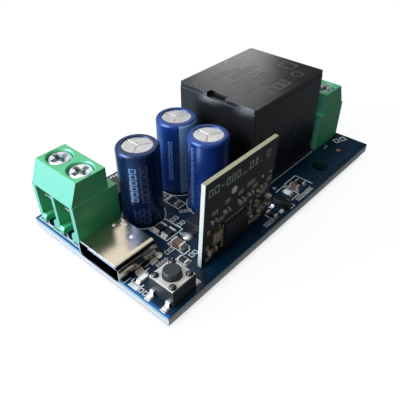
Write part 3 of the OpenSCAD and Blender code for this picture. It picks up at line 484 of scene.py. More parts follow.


# The green's edges are painted a brighter green: a painted highlight where they catch the key
# light.
slot_look("green_plastic", (0.056, 0.40, 0.155), (0.046, 0.34, 0.125), size=2.5, rough=0.34,
          bump=0.22, gloss=1.0, paint=paint_green_lit_ends, edge=0.10, rub=((0.05, 0.56, 0.22), 0.75),
          dust=0.02)
slot_look("relay_black", (0.006, 0.006, 0.006), (0.011, 0.010, 0.010), size=11.0, rough=0.27,
          rough_spread=0.10, bump=0.06, edge=0.12, rub=((0.14, 0.15, 0.17), 0.55), dust=0.14)
slot_look("black_plastic", (0.012, 0.014, 0.016), (0.020, 0.022, 0.025), size=1.0, rough=0.42,
          bump=0.25, gloss=0.4, edge=0.08, rub=((0.10, 0.10, 0.11), 0.5), dust=0.05)
slot_look("chip_black", (0.005, 0.005, 0.006), (0.010, 0.011, 0.013), size=0.8, rough=0.38,
          bump=0.3, edge=0.06, rub=((0.09, 0.10, 0.12), 0.5))
slot_look("bobbin_plastic", (0.75, 0.72, 0.62), size=1.0, rough=0.45)
slot_look("rubber_bung", (0.03, 0.03, 0.03), size=0.6, rough=0.75, bump=0.4)
slot_look("ferrite", (0.050, 0.042, 0.040), (0.085, 0.075, 0.07), size=0.7, rough=0.55, bump=0.6,
          edge=0.1)
slot_look("led_lens", (0.80, 0.82, 0.74), (0.62, 0.66, 0.60), size=0.5, rough=0.2, bump=0.1,
          coat=0.5)
print("plastic looks", len(LOOKS) + len(SLEEVES))

# %% [markdown]
# ## Metals and ceramics
# Metal shows mostly what stands round it, so what counts is how rough it is and how even. The
# socket's shell has a warm cast, fine scratches and a blue ring where it was welded; tinned leads
# and solder are brighter and softer. The shell's inside is painted near black, as painted shade,
# and the front face round its mouth near white, as a painted highlight; the material decides both
# from the place.


# %% The socket's shell and the screws
SHELL_Y, SHELL_W, SHELL_H = 13.44, 8.94, 3.26  # the shell's middle, width and height
WALL = 0.24  # from its outside to where it turns dark
WELD = (5.18, 12.31)  # the weld spot on its top


def paint_shell(tree, colour):
    x, y, z = frame_mm(tree)
    scratch = clouds(tree, object_place(tree), 7000.0, 5.0)
    colour = mix_colour(tree, ramp(tree, scratch, 0.60, 0.72), colour, (0.72, 0.66, 0.56))
    dx, dy = math_node(tree, "SUBTRACT", x, WELD[0]), math_node(tree, "SUBTRACT", y, WELD[1])
    away = math_node(tree, "ADD", times(tree, dx, dx), times(tree, dy, dy))
    away = math_node(tree, "SQRT", away)
    ring = times(tree, band(tree, away, 0.78, 0.12, 0.16), 0.8)
    colour = mix_colour(tree, ring, colour, (0.22, 0.25, 0.42))
    # The front face round the mouth is painted near white: a painted highlight, the mouth's bright
    # rim.
    rim = ramp(tree, x, -0.34, -0.40)
    colour = mix_colour(tree, rim, colour, (1.0, 0.97, 0.98))
    # Inside the shell the colour is near black: painted shade.
    inside = times(tree, band(tree, y, SHELL_Y, SHELL_W / 2 - WALL, 0.01),
                   band(tree, z, SHELL_H / 2, SHELL_H / 2 - WALL, 0.01))
    return mix_colour(tree, inside, colour, (0.012, 0.012, 0.013))


def paint_screw(tree, colour):
    """The cross recess is painted dark teal towards its floor, as painted shade, and its facets
    differ a little.
    """
    z = frame_mm(tree)[2]
    patch = clouds(tree, object_place(tree), 1300.0, 1.0)
    colour = mix_colour(tree, ramp(tree, patch, 0.40, 0.60), colour, (0.98, 0.95, 0.90))
    # Deep in the recess the colour turns dark teal: painted shade.
    deep = ramp(tree, z, 10.45, 10.05, 0.0, 0.85)
    return mix_colour(tree, deep, colour, (0.020, 0.090, 0.070))


slot_look("steel_screw", (0.62, 0.68, 0.74), (0.80, 0.84, 0.88), size=0.5, rough=0.16,
          rough_spread=0.2, bump=0.6, edge=0.05, metallic=0.75, paint=paint_screw)
slot_look("socket_steel", (0.62, 0.53, 0.41), (0.48, 0.43, 0.35), size=2.2, rough=0.18,
          rough_spread=0.10, bump=0.08, edge=0.03, metallic=1.0, paint=paint_shell, dust=0.35,
          grain=0.55)
print("looks so far", len(LOOKS))

# %% Other metals and ceramics
slot_look("plated_clamp", (0.62, 0.63, 0.65), size=1.0, rough=0.35, metallic=1.0)
slot_look("tinned_contact", (0.62, 0.61, 0.59), size=1.0, rough=0.32, metallic=1.0)
slot_look("gold_contact", (0.85, 0.62, 0.28), size=0.5, rough=0.28, metallic=1.0)
slot_look("aluminium_can", (0.78, 0.77, 0.76), (0.64, 0.62, 0.60), size=1.6, rough=0.32,
          rough_spread=0.25, bump=0.5, edge=0.08, metallic=1.0, dust=0.06)
slot_look("wound_foil", (0.72, 0.68, 0.58), size=0.5, rough=0.5, metallic=0.4)
slot_look("tinned_lead", (0.80, 0.77, 0.72), (0.46, 0.34, 0.27), size=0.7, rough=0.36,
          rough_spread=0.25, bump=0.12, edge=0.08, metallic=0.6)
slot_look("copper_wire", (0.62, 0.26, 0.10), (0.42, 0.16, 0.06), size=0.25, rough=0.35, bump=0.6,
          metallic=0.8)
slot_look("soft_iron", (0.55, 0.55, 0.56), size=1.0, rough=0.38, metallic=1.0)
slot_look("contact_strip", (0.70, 0.48, 0.26), size=1.0, rough=0.3, metallic=1.0)
slot_look("crystal_can", (0.74, 0.52, 0.24), size=0.5, rough=0.3, metallic=1.0)
slot_look("chip_brown", (0.115, 0.072, 0.048), (0.17, 0.11, 0.075), size=0.4, rough=0.5, bump=0.3,
          edge=0.05)
slot_look("cover_steel", (0.50, 0.48, 0.40), (0.40, 0.385, 0.33), size=0.9, rough=0.46,
          rough_spread=0.2, bump=0.5, edge=0.10, metallic=0.35, rub=((0.78, 0.76, 0.68), 0.7))
slot_look("solder", (0.66, 0.64, 0.62), (0.44, 0.40, 0.36), size=0.6, rough=0.34,
          rough_spread=0.25, bump=0.12, edge=0.12, metallic=0.85)
print("looks in all", len(LOOKS))

# %% [markdown]
# ## The looks go on the CAD nodes
# The record names a material slot for each node, so a loop can dress them all. The sleeves have a
# look each, because their print is worked out from their own centres. The socket's tongue, a
# moulded insert, has its own as well: black, with its front in the mouth painted pale as a painted
# highlight of the daylight that falls in.


# %% Put the looks on the CAD nodes
def paint_tongue(tree, colour):
    # The front of the tongue, in the mouth, is painted pale: a painted highlight of the daylight.
    return mix_colour(tree, ramp(tree, frame_mm(tree)[0], 4.8, 4.5), colour, (0.42, 0.45, 0.54))


slot_of = {part["node"]: part["material_slot"] for part in frame["record"]["subparts"]}
for name, thing in frame["nodes"].items():
    sleeve = slot_of[name] == "blue_sleeve"
    chosen = SLEEVES[int(name.split("_")[1]) - 1] if sleeve else LOOKS[slot_of[name]]
    thing.data.materials.clear()
    thing.data.materials.append(chosen)
TONGUE = look("tongue_plastic", (0.02, 0.02, 0.022), size=1.0, rough=0.35, paint=paint_tongue)
frame["nodes"]["usb_tongue"].data.materials[0] = TONGUE
print("dressed", len(frame["nodes"]), "nodes")

# %% [markdown]
# ## Thin pieces
# Ink, copper and solder are very thin solids that lie on what carries them. They could be painted
# by the board's material, but as solids they keep their sharp outlines in any view, and catch
# light at their edges. Each is a few arrays of points: a prism from an outline, or a ribbon that
# follows a path with mitred corners.


# %% Outlines and prisms
def prism(ring, z0, z1):
    """A closed prism: the outline `ring` (n, 2), anticlockwise, from z0 to z1."""
    ring = np.asarray(ring, float)
    n = len(ring)
    points = np.vstack([np.column_stack([ring, np.full(n, z)]) for z in (z0, z1)])
    i = np.arange(n)
    j = (i + 1) % n
    sides = np.column_stack([i, j, j + n, i + n]).tolist()
    return points, sides + [list(range(n - 1, -1, -1)), list(range(n, 2 * n))]


def rectangle(x, y, w, h, z0=0.0, z1=0.03):
    """The prism of (x +- w / 2, y +- h / 2)."""
    a, b = w / 2, h / 2
    return prism([(x - a, y - b), (x + a, y - b), (x + a, y + b), (x - a, y + b)], z0, z1)


def arc(x, y, r, start, end, n=48):
    """(x + r cos t, y + r sin t) for n steps of t from start to end, in degrees."""
    t = np.radians(np.linspace(start, end, n))
    return np.column_stack([x + r * np.cos(t), y + r * np.sin(t)])


def disc(x, y, r, z0=0.0, z1=0.03, n=32):
    """The prism of a whole turn of arc, less its last step."""
    t = np.arange(n) * 2 * np.pi / n
    return prism(np.column_stack([x + r * np.cos(t), y + r * np.sin(t)]), z0, z1)


print("a disc has", len(disc(0, 0, 1)[1]), "faces")


# %% Ribbons
def ribbon(path, width, z0=0.0, z1=0.02, closed=False):
    """A flat ribbon along path (n, 2). At each point it is widened by 1 / cos of half the turn."""
    path = np.asarray(path, float)
    n = len(path)
    ahead = np.roll(path, -1, 0) - path
    ahead /= np.maximum(np.linalg.norm(ahead, axis=1), 1e-9)[:, None]
    behind = np.roll(ahead, 1, 0)
    if not closed:
        ahead[-1], behind[0] = ahead[-2], ahead[0]
    tangent = ahead + behind
    tangent /= np.maximum(np.linalg.norm(tangent, axis=1), 1e-9)[:, None]
    normal = np.column_stack([-tangent[:, 1], tangent[:, 0]])
    mitre = 1 / np.maximum((tangent * ahead).sum(1), 0.35)
    out = normal * (mitre * width / 2)[:, None]
    left, right = path + out, path - out
    rows = ((right, z0), (left, z0), (left, z1), (right, z1))
    points = np.vstack([np.column_stack([side, np.full(n, z)]) for side, z in rows])
    i = np.arange(n if closed else n - 1)
    j = (i + 1) % n
    faces = np.vstack([np.column_stack([a * n + i, b * n + i, b * n + j, a * n + j])
                       for a, b in ((0, 1), (1, 2), (2, 3), (3, 0))]).tolist()
    if not closed:
        faces += [[0, 3 * n, 2 * n, n], [n - 1, 2 * n - 1, 3 * n - 1, 4 * n - 1]]
    return points, faces


def rounded_path(*points, r=0.6, n=6):
    """Corners cut back by r and joined by a curve through (1-t)^2 a + 2t(1-t) p + t^2 b."""
    p = np.asarray(points, float)
    out = [p[:1]]
    t = np.linspace(0, 1, n)[:, None]
    for before, here, after in zip(p[:-2], p[1:-1], p[2:]):
        a = here + (before - here) / np.linalg.norm(before - here) * r
        b = here + (after - here) / np.linalg.norm(after - here) * r
        out.append((1 - t) ** 2 * a + 2 * t * (1 - t) * here + t ** 2 * b)
    return np.vstack(out + [p[-1:]])


print("a rounded corner has", len(rounded_path((0, 0), (2, 0), (2, 2))), "points")


# %% From arrays to a Blender object
def together(parts):
    """Many small solids as one array of points and one list of faces."""
    faces, base = [], 0
    for points, own in parts:
        faces += [(np.array(face) + base).tolist() for face in own]
        base += len(points)
    return np.vstack([points for points, own in parts]), faces


def raised(parts, z):
    """The same solids, higher by z."""
    return [(points + (0, 0, z), faces) for points, faces in parts]


def piece(name, parts, material, place=None, smooth=False, bevel=0.0):
    """A Blender object from small solids in board millimetres. It rides on the module."""
    points, faces = together(parts)
    if place:
        points = place(points)
    mesh = bpy.data.meshes.new(name)
    mesh.from_pydata(at(points).tolist(), [], faces)
    mesh.materials.append(material)
    if smooth:
        mesh.polygons.foreach_set("use_smooth", [True] * len(mesh.polygons))
    thing = bpy.data.objects.new(name, mesh)
    bpy.context.collection.objects.link(thing)
    if bevel:
        edge = thing.modifiers.new("soft_edges", "BEVEL")
        edge.width, edge.segments, edge.limit_method = bevel * MM, 2, "ANGLE"
    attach(thing, "module")
    print(name, len(faces), "faces")


print("two discs have", len(together([disc(0, 0, 1), disc(3, 0, 1)])[0]), "points")

# %% [markdown]
# ## Printed outlines
# White ink marks where each part goes: a ring at each capacitor's foot, boxes round the small
# parts, arcs under the wire entries, brackets at the socket and the button, and rows of small
# hollow boxes. It is screen printed through a mesh, so its lines have one width and soft colour:
# ribbons 0.02 high.


# %% Helpers for ink
INK = look("ink", (0.58, 0.60, 0.57), (0.42, 0.45, 0.43), size=0.6, rough=0.55, bump=0.3, edge=0.01)
LINE, THIN = 0.17, 0.12  # the widths of a printed line
RELAY = (27.01, 7.18, 46.91, 22.98)  # the relay's outline: x0, y0, x1, y1
SUPPLY_Y, PITCH = (26.83, 21.75), 5.08  # the supply terminal's poles


def lines(width, *paths, closed=False):
    return [ribbon(path, width, closed=closed) for path in paths]


def box_path(x0, y0, x1, y1, cut=0.0):
    """A box's corners, with one of them cut off where a part has a first pin."""
    if cut:
        return [(x0, y0), (x1 - cut, y0), (x1, y0 + cut), (x1, y1), (x0, y1)]
    return [(x0, y0), (x1, y0), (x1, y1), (x0, y1)]


def boxes(x, y, angle, count, length=0.5, gap=0.25, height=0.7, line=0.11):
    """A row of plain hollow boxes centred on (x, y): the corners (+-a, +-b) are carried along the
    row and turned by the angle."""
    turn = np.radians(angle)
    axes = np.array([[np.cos(turn), np.sin(turn)], [-np.sin(turn), np.cos(turn)]])
    corners = np.array(box_path(-0.5, -0.5, 0.5, 0.5)) * (length - line, height - line)
    middles = (np.arange(count) - (count - 1) / 2) * (length + gap)
    return [ribbon((corners + (m, 0)) @ axes + (x, y), line, closed=True) for m in middles]


print("ink lines", LINE, "and", THIN, "wide")

# %% Ink on the board
relay_x0, relay_y0, relay_x1, relay_y1 = np.array(RELAY) + (-0.3, -0.3, 0.3, 0.3)
ink = lines(LINE, *[arc(x, y, 3.58, 0, 352.5) for x, y in CAPS], closed=True)
ink += lines(LINE, [(8.9, 29.72), (0.4, 29.72), (0.4, 19.0)],
             *[arc(2.9, y, 2.35, 118, 242, 20) for y in SUPPLY_Y],
             [(0.12, 10.2), (0.12, 8.88), (1.5, 8.88)], [(4.2, 8.93), (5.5, 8.93)],
             [(3.62, 7.6), (3.75, 8.3), (4.5, 8.3)],
             [(1.75, 8.4), (1.2, 8.4), (1.2, 6.55), (1.75, 6.55)])
ink += lines(LINE, box_path(10.2, 10.4, 13.75, 14.15), closed=True)
ink += lines(THIN, box_path(8.3, 4.7, 9.55, 6.65), closed=True)
ink += lines(LINE, box_path(16.95, 14.4, 18.8, 17.8), box_path(9.85, 6.4, 11.6, 9.85, 0.6),
             closed=True)
ink += lines(LINE, [(12.9, 9.0), (12.9, 10.25)], [(12.55, 9.75), (13.25, 9.75)])
ink += lines(THIN, [(relay_x0, relay_y0), (relay_x1, relay_y0)],
             [(relay_x0, relay_y0), (relay_x0, relay_y1), (relay_x1, relay_y1)])
ink += lines(LINE, [(31.4, 4.7), (33.8, 4.7), (33.8, 1.5), (31.4, 1.5)],
             [(34.3, 1.9), (34.3, 4.9), (37.9, 4.9), (37.9, 1.3)],
             [(29.4, 0.35), (30.6, 0.35), (30.6, 1.2)], [(25.2, 0.7), (25.2, 2.9), (26.8, 2.9)],
             [(31.9, 5.6), (32.6, 5.6)], [(32.25, 5.25), (32.25, 5.95)])
ink += lines(THIN, [(50.6, 6.25), (50.6, 5.6), (49.3, 5.6)])
ink.append(rectangle(0.67, 7.42, 0.72, 1.75, 0.0, 0.02))
ROWS = [(0.85, 5.7, 90, 2, 0.62, 0.22, 0.8), (6.5, 7.75, 0, 4, 0.40, 0.18, 0.55, 0.09),
        (17.4, 13.1, -35, 3, 0.55, 0.2, 0.7), (14.7, 13.1, 0, 2, 0.62, 0.22, 0.85),
        (14.6, 11.5, 0, 2, 0.62, 0.22, 0.85), (8.9, 8.6, 0, 2, 0.65, 0.2, 0.85),
        (10.9, 5.5, 0, 2, 0.65, 0.2, 0.85), (17.3, 18.6, 0, 3, 0.5, 0.2, 0.6),
        (15.6, 29.2, 0, 3, 0.9, 0.3, 1.2, 0.18), (34.4, 0.8, 0, 7, 0.5, 0.18, 0.75),
        (23.9, 1.0, 0, 3, 0.5, 0.18, 0.75), (54.4, 4.9, -22, 2, 1.2, 0.4, 1.3, 0.24)]
for row in ROWS:
    ink += boxes(*row)
piece("silkscreen", ink, INK)

# %% [markdown]
# ## Copper
# A track is copper under the mask, so it is the board's own blue, lighter and a hair higher. It
# could be bump alone, but then it would not catch the light at its edge. A via is a small drilled
# hole, dark from above, so it is drawn as a dark disc on the mask: painted shade. A bare pad shows
# its copper.

# %% Tracks, pads and vias
TRACK = look("masked_copper", (0.0032, 0.026, 0.056), (0.0024, 0.019, 0.038), size=4.0, rough=0.28,
             bump=0.1, edge=0.02, gloss=0.25)
COPPER = look("bare_copper", (0.42, 0.20, 0.12), (0.30, 0.14, 0.09), size=0.5, rough=0.5, bump=0.3,
              metallic=0.5)
# The vias are dark discs on the mask: painted shade of the drilled holes.
VIA = look("via_dark", (0.004, 0.008, 0.014), size=0.5, rough=0.6)
TRACK_Z, RING_Z = (0.0, 0.012), (0.0, 0.016)
TEST_POINTS = [(9.57, 1.75), (15.75, 0.87), (19.52, 1.83)]
FIXING_HOLES = [(43.6, 3.1), (43.6, WIDTH - 3.1)]
TRACKS = [(0.35, (9.6, 1.75), (12.5, 1.75), (15.0, 0.9), (25.0, 0.9)),
          (0.30, (15.75, 1.5), (19.5, 1.5), (21.5, 0.5), (30.5, 0.5)),
          (0.9, (46.6, 1.2), (53.0, 1.2), (55.0, 3.0)),
          (0.4, (46.6, 5.6), (48.8, 5.4), (50.7, 3.6)),
          (0.3, (6.9, 3.9), (8.4, 3.9), (9.2, 2.0)),
          (0.35, (9.6, 10.4), (8.2, 11.2), (8.0, 14.8), (9.0, 15.6)),
          (0.5, (13.9, 15.0), (16.0, 13.9), (17.5, 9.4)),
          (0.3, (7.6, 9.3), (9.2, 7.4), (9.7, 3.9)),
          (1.4, (16.6, 21.5), (17.8, 23.4), (25.8, 24.2), (48.0, 24.2)),
          (0.25, (0.9, 0.5), (8.6, 0.5), (10.2, 1.4))]
tracks = [ribbon(rounded_path(*points), width, *TRACK_Z) for width, *points in TRACKS]
for x, y in TEST_POINTS:
    tracks.append(ribbon(arc(x, y, 0.42, 0, 345, 24), 0.10, *RING_Z, closed=True))
for x, y in FIXING_HOLES:
    tracks.append(ribbon(arc(x, y, 1.85, 0, 352.5), 0.22, *RING_Z, closed=True))
piece("board_tracks", tracks, TRACK)
VIAS = [(15.8, 14.27), (16.5, 16.5), *TEST_POINTS, (18.9, 13.5), (7.9, 14.0), (24.6, 4.4),
        (40.6, 1.2), (13.0, 5.3)]
piece("board_vias", [disc(x, y, 0.2, 0.0, 0.02, 16) for x, y in VIAS], VIA)
piece("bare_copper_pad", [disc(50.73, 3.2, 0.42, 0.0, 0.03)], COPPER)

# %% [markdown]
# ## Chip ends and solder
# Chip parts have tinned ends, and at each end the melted solder climbs the end and sets in a
# hollow curve, h (1 - s) squared. A drop that sits on a lead sets as a dome. Spheres and wedges
# could stand for them, but the hollow curve is what the eye knows as a good joint.


# %% Fillets and domes
def fillet(x, y, angle, width, reach, height, n=7):
    """Solder with a hollow top, z = h (1 - s)^2, from an end face at (x, y) out along angle."""
    s = np.linspace(0, 1, n)
    slope = np.column_stack([s * reach, height * (1 - s) ** 2 + 0.02 * (1 - s)])
    u, z = np.vstack([[(0.0, 0.0)], slope]).T
    c, k = math.cos(math.radians(angle)), math.sin(math.radians(angle))
    rows = [np.column_stack([x + u * c - side * k, y + u * k + side * c, z])
            for side in (-width / 2, width / 2)]
    m = len(u)
    i = np.arange(m)
    j = (i + 1) % m
    sides = np.column_stack([i + m, j + m, j, i]).tolist()
    return np.vstack(rows), sides + [list(range(m)), list(range(2 * m - 1, m - 1, -1))]


def dome(x, y, r, height, rings=5, n=24):
    """A flat dome: rings of radius r sin a at height cos a, a from 90 degrees to near 0."""
    a = np.linspace(np.pi / 2, 0.08, rings)[:, None]
    t = np.arange(n) * 2 * np.pi / n
    points = np.stack([x + r * np.sin(a) * np.cos(t), y + r * np.sin(a) * np.sin(t),
                       np.broadcast_to(height * np.cos(a), (rings, n))], -1).reshape(-1, 3)
    k, i = np.meshgrid(np.arange(rings - 1) * n, np.arange(n), indexing="ij")
    j = (i + 1) % n
    sides = np.stack([k + i, k + j, k + n + j, k + n + i], -1).reshape(-1, 4).tolist()
    last = (rings - 1) * n
    return points, sides + [list(range(n - 1, -1, -1)), list(range(last, last + n))]


print("a dome has", len(dome(0, 0, 1, 0.5)[0]), "points")

# %% Chip ends
TIN, SOLDER = LOOKS["tinned_lead"], LOOKS["solder"]
LARGE, SMALL = (2.0, 1.25), (1.6, 0.8)  # the length and width of a chip part
CHIPS = [(11.6, 11.35, 0, *LARGE, 0.5), (11.5, 13.1, 0, *LARGE, 0.5),  # x, y, turned, size, height
         (17.75, 16.2, 1, *LARGE, 0.5), (8.8, 5.6, 1, *SMALL, 0.45),
         (36.61, 3.05, 1, *SMALL, 0.45), (26.01, 1.75, 1, *SMALL, 0.45),
         (10.65, 8.3, 1, *LARGE, 1.0), (34.66, 3.05, 1, *SMALL, 0.8),
         (2.45, 7.45, 0, *SMALL, 0.45), (32.61, 3.05, 1, *SMALL, 0.45)]
caps, joints = [], []
for x, y, turned, length, width, height in CHIPS:
    ax, ay = (0, 1) if turned else (1, 0)
    deep, wide = 0.16 * length, width + 0.03  # an end cap
    for side in (-1, 1):
        end = side * (length / 2 + 0.01)
        middle = side * (length / 2 - deep / 2 + 0.01)
        size = (wide, deep) if turned else (deep, wide)
        caps.append(rectangle(x + ax * middle, y + ay * middle, *size, 0.0, height + 0.02))
        angle = 90 * turned + (180 if side < 0 else 0)
        joints.append(fillet(x + ax * end, y + ay * end, angle, width * 0.95, 0.36, height * 0.7))
piece("chip_end_caps", caps, TIN, bevel=0.03)

# %% Solder at the diode and the button
DIODE_Y, DIODE_LEADS = 8.6, ((13.25, 180), (18.65, 0))  # each lead's end and the way it points
BUTTON = (3.84, 2.89)  # the button's centre
joints += [fillet(x, DIODE_Y, angle, 1.6, 0.8, 0.27) for x, angle in DIODE_LEADS]
joints.append(dome(12.95, 8.55, 0.92, 0.50, 7))  # a full drop over the diode's left lead
for sx, sy in ((-1, 1.5), (-1, -1.5), (1, 1.5), (1, -1.5)):
    x, y = BUTTON[0] + sx * 3.2, BUTTON[1] + sy
    joints.append(rectangle(x - sx * 0.15, y, 1.25, 1.0, 0.0, 0.04))
    joints.append(fillet(x - sx * 0.02, y, 0 if sx > 0 else 180, 0.7, 0.35, 0.18))
piece("solder_top_side", joints, SOLDER)

# %% Solder at the transistor and the socket
# The transistor's joints lie in the radio board's shadow, so their solder is made near white and
# less metallic: painted glints.
GLINT_SOLDER = look("solder_painted_glint", (0.90, 0.90, 0.92), (0.70, 0.70, 0.72), size=0.4, rough=0.28, bump=0.1,
             edge=0.08, metallic=0.3)
LEGS = [(27.75, 1.10, 180), (27.75, 3.0, 180), (30.75, 2.05, 0)]  # x, y and the way it points
legs = [rectangle(x, y, 0.85, 0.62, 0.0, 0.05) for x, y, angle in LEGS]
legs += [fillet(28.0 if angle else 30.5, y, angle, 0.5, 0.45, 0.30) for x, y, angle in LEGS]
piece("transistor_joints", legs, GLINT_SOLDER)
FLUXED = look("fluxed_solder", (0.68, 0.61, 0.52), (0.38, 0.28, 0.20), size=0.9, rough=0.30,
              bump=0.1, edge=0.08, metallic=0.4)
feet = [fillet(2.98, 8.86, -90, 1.35, 0.75, 0.60), fillet(5.78, 8.86, -90, 1.25, 0.60, 0.5),
        fillet(2.98, 18.02, 90, 1.25, 0.5, 0.5), fillet(5.78, 18.02, 90, 1.25, 0.5, 0.5),
        dome(7.15, 9.2, 0.72, 0.14), dome(8.38, 18.75, 0.42, 0.20), dome(7.15, 19.4, 0.36, 0.20)]
piece("socket_joints", feet, FLUXED)

# %% [markdown]
# ## The button's rivets
# Four pins of the button's base come up through its steel cover and are melted over it. Flat discs
# would catch no light, so each is a dome, shaded smooth.

# %% Rivets
RIVET_OUT, COVER_TOP = 1.63, 3.08  # from the button's centre, and the cover's height
rivets = [dome(BUTTON[0] + sx * RIVET_OUT, BUTTON[1] + sy * RIVET_OUT, 0.54, 0.42, 7)
          for sx in (-1, 1) for sy in (-1, 1)]
RIVET = look("rivet_black", (0.010, 0.011, 0.012), size=0.5, rough=0.24, bump=0.1, gloss=0.8)
piece("switch_rivets", raised(rivets, COVER_TOP), RIVET, smooth=True)

# %% [markdown]
# ## Radio board
# A small board stands upright beside the button. Its chip parts have tinned ends, the chip's pads
# stand as rows of dots round its sides, the crystal has a pale lid inside its gilt rim, and rows
# of plain boxes are printed on it. All of it is made flat, as on the main board, and then turned
# upright by one function, which is easier than working with leaning coordinates throughout.


# %% Places on the radio board
RADIO = np.array([9.43, 2.67, 0.0])  # the foot of its front face
LEAN = math.radians(2.8)  # how far it leans forward


def on_radio(points):
    """Radio board millimetres (along, up, out of its front) to board millimetres."""
    p = np.asarray(points, float)
    y = -p[:, 2] * math.cos(LEAN) - p[:, 1] * math.sin(LEAN)
    z = -p[:, 2] * math.sin(LEAN) + p[:, 1] * math.cos(LEAN)
    return np.column_stack([p[:, 0], y, z]) + RADIO


print("its upper corner", on_radio([(0, 15.2, 0)])[0].round(2))

# %% Radio board parts
RADIO_TIN = look("radio_tin", (0.62, 0.58, 0.50), (0.34, 0.28, 0.22), size=0.4, rough=0.40,
                 bump=0.1, edge=0.03, metallic=0.35)
PARTS = [(2.05, 8, 1, 0.5, 0.35), (4.7, 8.3, 1, 0.5, 0.5), (7.95, 8.2, 1, 0.5, 0.5),
         (10.2, 8.1, 1, 0.5, 0.5), (2.1, 2.2, 1.6, 0.8, 0.45), (12.2, 7, 0.5, 1, 0.5),
         (13.5, 7.6, 1, 0.5, 0.35), (15.1, 4.1, 0.8, 1.6, 0.8), (12.2, 5, 0.5, 1, 0.35),
         (13.1, 2.4, 0.5, 1, 0.5), (11.3, 2.4, 0.5, 1, 0.35)]  # middle, size and height
ends = []
for u, w, du, dw, out in PARTS:
    for side in (-1, 1):
        if du > dw:
            end = (u + side * (du * 0.42), w, du * 0.24, dw + 0.03)
        else:
            end = (u, w + side * (dw * 0.42), du + 0.03, dw * 0.24)
        ends.append(rectangle(*end, 0.0, out + 0.02))
piece("radio_end_caps", ends, RADIO_TIN, place=on_radio, bevel=0.02)

# %% The radio chip's pads and the crystal's lid
CHIP_U, CHIP_W, CHIP_SIDE = 4.55, 1.0, 4.8  # the chip's corner and side
STEP, OUT = 0.5, 0.12  # from pad to pad, and how far they stand out


def pad_row(w):
    return [rectangle(CHIP_U + 0.4 + STEP * i, w, 0.22, 0.3, 0.0, OUT) for i in range(9)]


def pad_column(u):
    return [rectangle(u, CHIP_W + 0.4 + STEP * i, 0.3, 0.22, 0.0, OUT) for i in range(9)]


dots = pad_row(CHIP_W + CHIP_SIDE + OUT) + pad_column(CHIP_U + CHIP_SIDE + OUT)
dots += pad_column(CHIP_U - OUT) + pad_row(CHIP_W - OUT)
dots += [rectangle(3.6, 6.2 - 0.45 * i, 0.28, 0.2, 0.0, 0.03) for i in range(7)]
piece("radio_chip_pads", dots, RADIO_TIN, place=on_radio)
LID = look("crystal_lid", (0.66, 0.55, 0.43), (0.58, 0.48, 0.38), size=0.5, rough=0.3, metallic=0.9)
piece("crystal_lid", [rectangle(2.825, 4.525, 1.55, 1.75, 0.45, 0.50)], LID,
      place=on_radio, bevel=0.02)

# %% Bare pads and print on the radio board
MARK = look("radio_ink", (0.50, 0.52, 0.50), (0.34, 0.36, 0.34), size=0.6, rough=0.6, bump=0.3,
            edge=0.01)
BARE = look("radio_pale", (0.80, 0.80, 0.70), (0.65, 0.65, 0.56), size=0.5, rough=0.5, bump=0.2,
            edge=0.01)
pads = [disc(6.34, 10.93, 0.62), disc(13.3, 9.4, 0.26), rectangle(15.3, 9.24, 0.7, 0.2)]
piece("radio_bare_pads", pads, BARE, place=on_radio)
TOP_ROW = [(1.2, 0.85), (2.4, 0.95), (4.8, 0.8), (5.9, 0.8), (7.0, 0.8), (9.9, 0.9), (11.1, 0.5),
           (14.0, 0.85)]  # the middle and length of each box
SMALL_ROWS = [(2.3, 9.3, 2), (5.0, 9.7, 2), (8.0, 9.5, 2), (10.3, 9.9, 3), (11.5, 8.7, 2),
              (3.9, 7.2, 2), (11.1, 3.6, 2), (11.6, 1.4, 2), (14.6, 6.6, 2), (1.5, 0.8, 2),
              (13.9, 6.2, 2), (12.9, 4.3, 2), (8.9, 7.2, 3), (1.2, 6.2, 1), (1.1, 3.2, 1),
              (13.0, 1.2, 2), (10.9, 5.9, 1), (10.9, 4.7, 1), (13.9, 2.9, 2), (14.9, 2.2, 2),
              (11.2, 7.4, 1), (15.2, 8.0, 2)]  # middle and count
marks = []
for u, length in TOP_ROW:
    marks += boxes(u, 13.3, 0, 1, length, 0, 1.25, 0.17)
marks += [rectangle(3.65, 13.25, 0.6, 0.18, 0.0, 0.02), rectangle(8.35, 12.7, 1.1, 0.17, 0.0, 0.02),
          rectangle(12.3, 12.8, 0.22, 0.22, 0.0, 0.02)]
for u, w, count in SMALL_ROWS:
    marks += boxes(u, w, 0, count, 0.5, 0.14, 0.72, 0.12)
piece("radio_marks", marks, MARK, place=on_radio)

# %% [markdown]
# ## Relay and socket
# The relay's lid is printed by a soft pad in a faint brown: rows of plain boxes, a ring and a
# frame, which are ribbons as on the board, in a look that is half worn away. The socket's shell
# shows a weld spot, a small boss and the tab where its sheet closes, as low solids with bevelled
# edges.

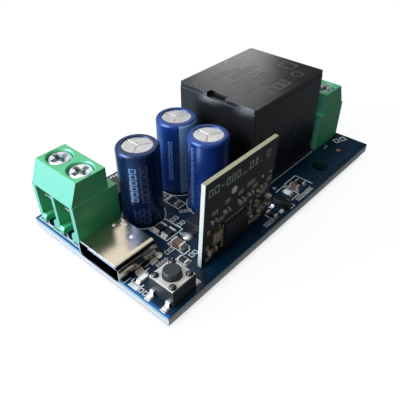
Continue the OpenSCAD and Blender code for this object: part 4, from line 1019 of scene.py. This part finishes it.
# %% Relay marks
FADED = look("faded_print", (0.085, 0.070, 0.048), (0.030, 0.027, 0.020), spread=0.9, size=1.2,
             rough=0.5, bump=0.2, edge=0.01)
LID_TOP = 16.59  # just inside the lid's top face, at 16.6
LID_ROWS = [(9.6, 31.0, 5, 1.5, 1.9, 0.20), (12.2, 30.2, 9, 0.75, 0.9, 0.12),
            (14.0, 32.0, 7, 0.9, 1.1, 0.14), (15.6, 30.6, 10, 0.6, 0.7, 0.10),
            (17.2, 34.0, 6, 0.9, 1.1, 0.14), (19.0, 31.2, 8, 0.6, 0.7, 0.10)]
rows = []
for y, start, count, length, height, line in LID_ROWS:
    middle = start + (count - 1) * (length + 0.3) / 2
    rows += boxes(middle, y, 0, count, length, 0.3, height, line)
rows += lines(0.18, arc(42.4, 9.8, 0.95, 0, 352.5), closed=True)
rows += lines(0.20, box_path(43.4, 11.6, 45.6, 14.4), closed=True)
rows += lines(0.12, arc(28.7, 9.3, 0.4, 0, 345, 24), closed=True)
piece("relay_marks", raised(rows, LID_TOP), FADED)

# %% Shell details
IN = SHELL_H - 0.02  # each starts a little inside the sheet
bits = [disc(*WELD, 0.34, IN, SHELL_H + 0.05), disc(*WELD, 0.20, SHELL_H, SHELL_H + 0.12, 24),
        disc(5.1, 16.18, 0.26, IN, SHELL_H + 0.06, 24),
        rectangle(6.24, 15.26, 0.5, 1.1, IN, SHELL_H + 0.05)]
piece("shell_details", bits, TIN, bevel=0.03)

# %% [markdown]
# ## Underside
# Such boards carry the wide mains tracks below, from the relay's contacts to the output terminal,
# with round pads at the terminals' pins. They are the same ribbons and discs as on top, hung under
# the board.

# %% Underside copper
PIN_IN = 0.54 + 6.6  # a terminal's pins, from its end of the board
pins = [(PIN_IN, y) for y in SUPPLY_Y[::-1]]
pins += [(LENGTH - PIN_IN, 9.17 + PITCH * i) for i in range(3)]
BELOW = [(2.6, (43.6, 9.9), (46.5, 9.2), (49.2, 9.2)),
         (2.6, (43.6, 20.3), (46.5, 19.4), (49.2, 19.3)),
         (2.8, (28.6, 15.2), (45.6, 15.1), (49.2, 14.3)),
         (1.4, (7.2, 26.8), (12.0, 26.8), (20.0, 23.5), (31.5, 21.0)),
         (1.2, (7.2, 21.7), (10.0, 21.7), (10.9, 17.6))]
under = [ribbon(rounded_path(*points), width, -THICK - 0.012, -THICK) for width, *points in BELOW]
under += [disc(x, y, 1.35, -THICK - 0.018, -THICK) for x, y in pins]
piece("underside_tracks", under, TRACK)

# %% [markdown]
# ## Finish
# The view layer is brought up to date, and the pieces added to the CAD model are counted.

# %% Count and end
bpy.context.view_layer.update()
meshes = [thing for thing in bpy.data.objects if thing.type == "MESH"]
print("pieces added", len(meshes) - len(frame["nodes"]) - 1)
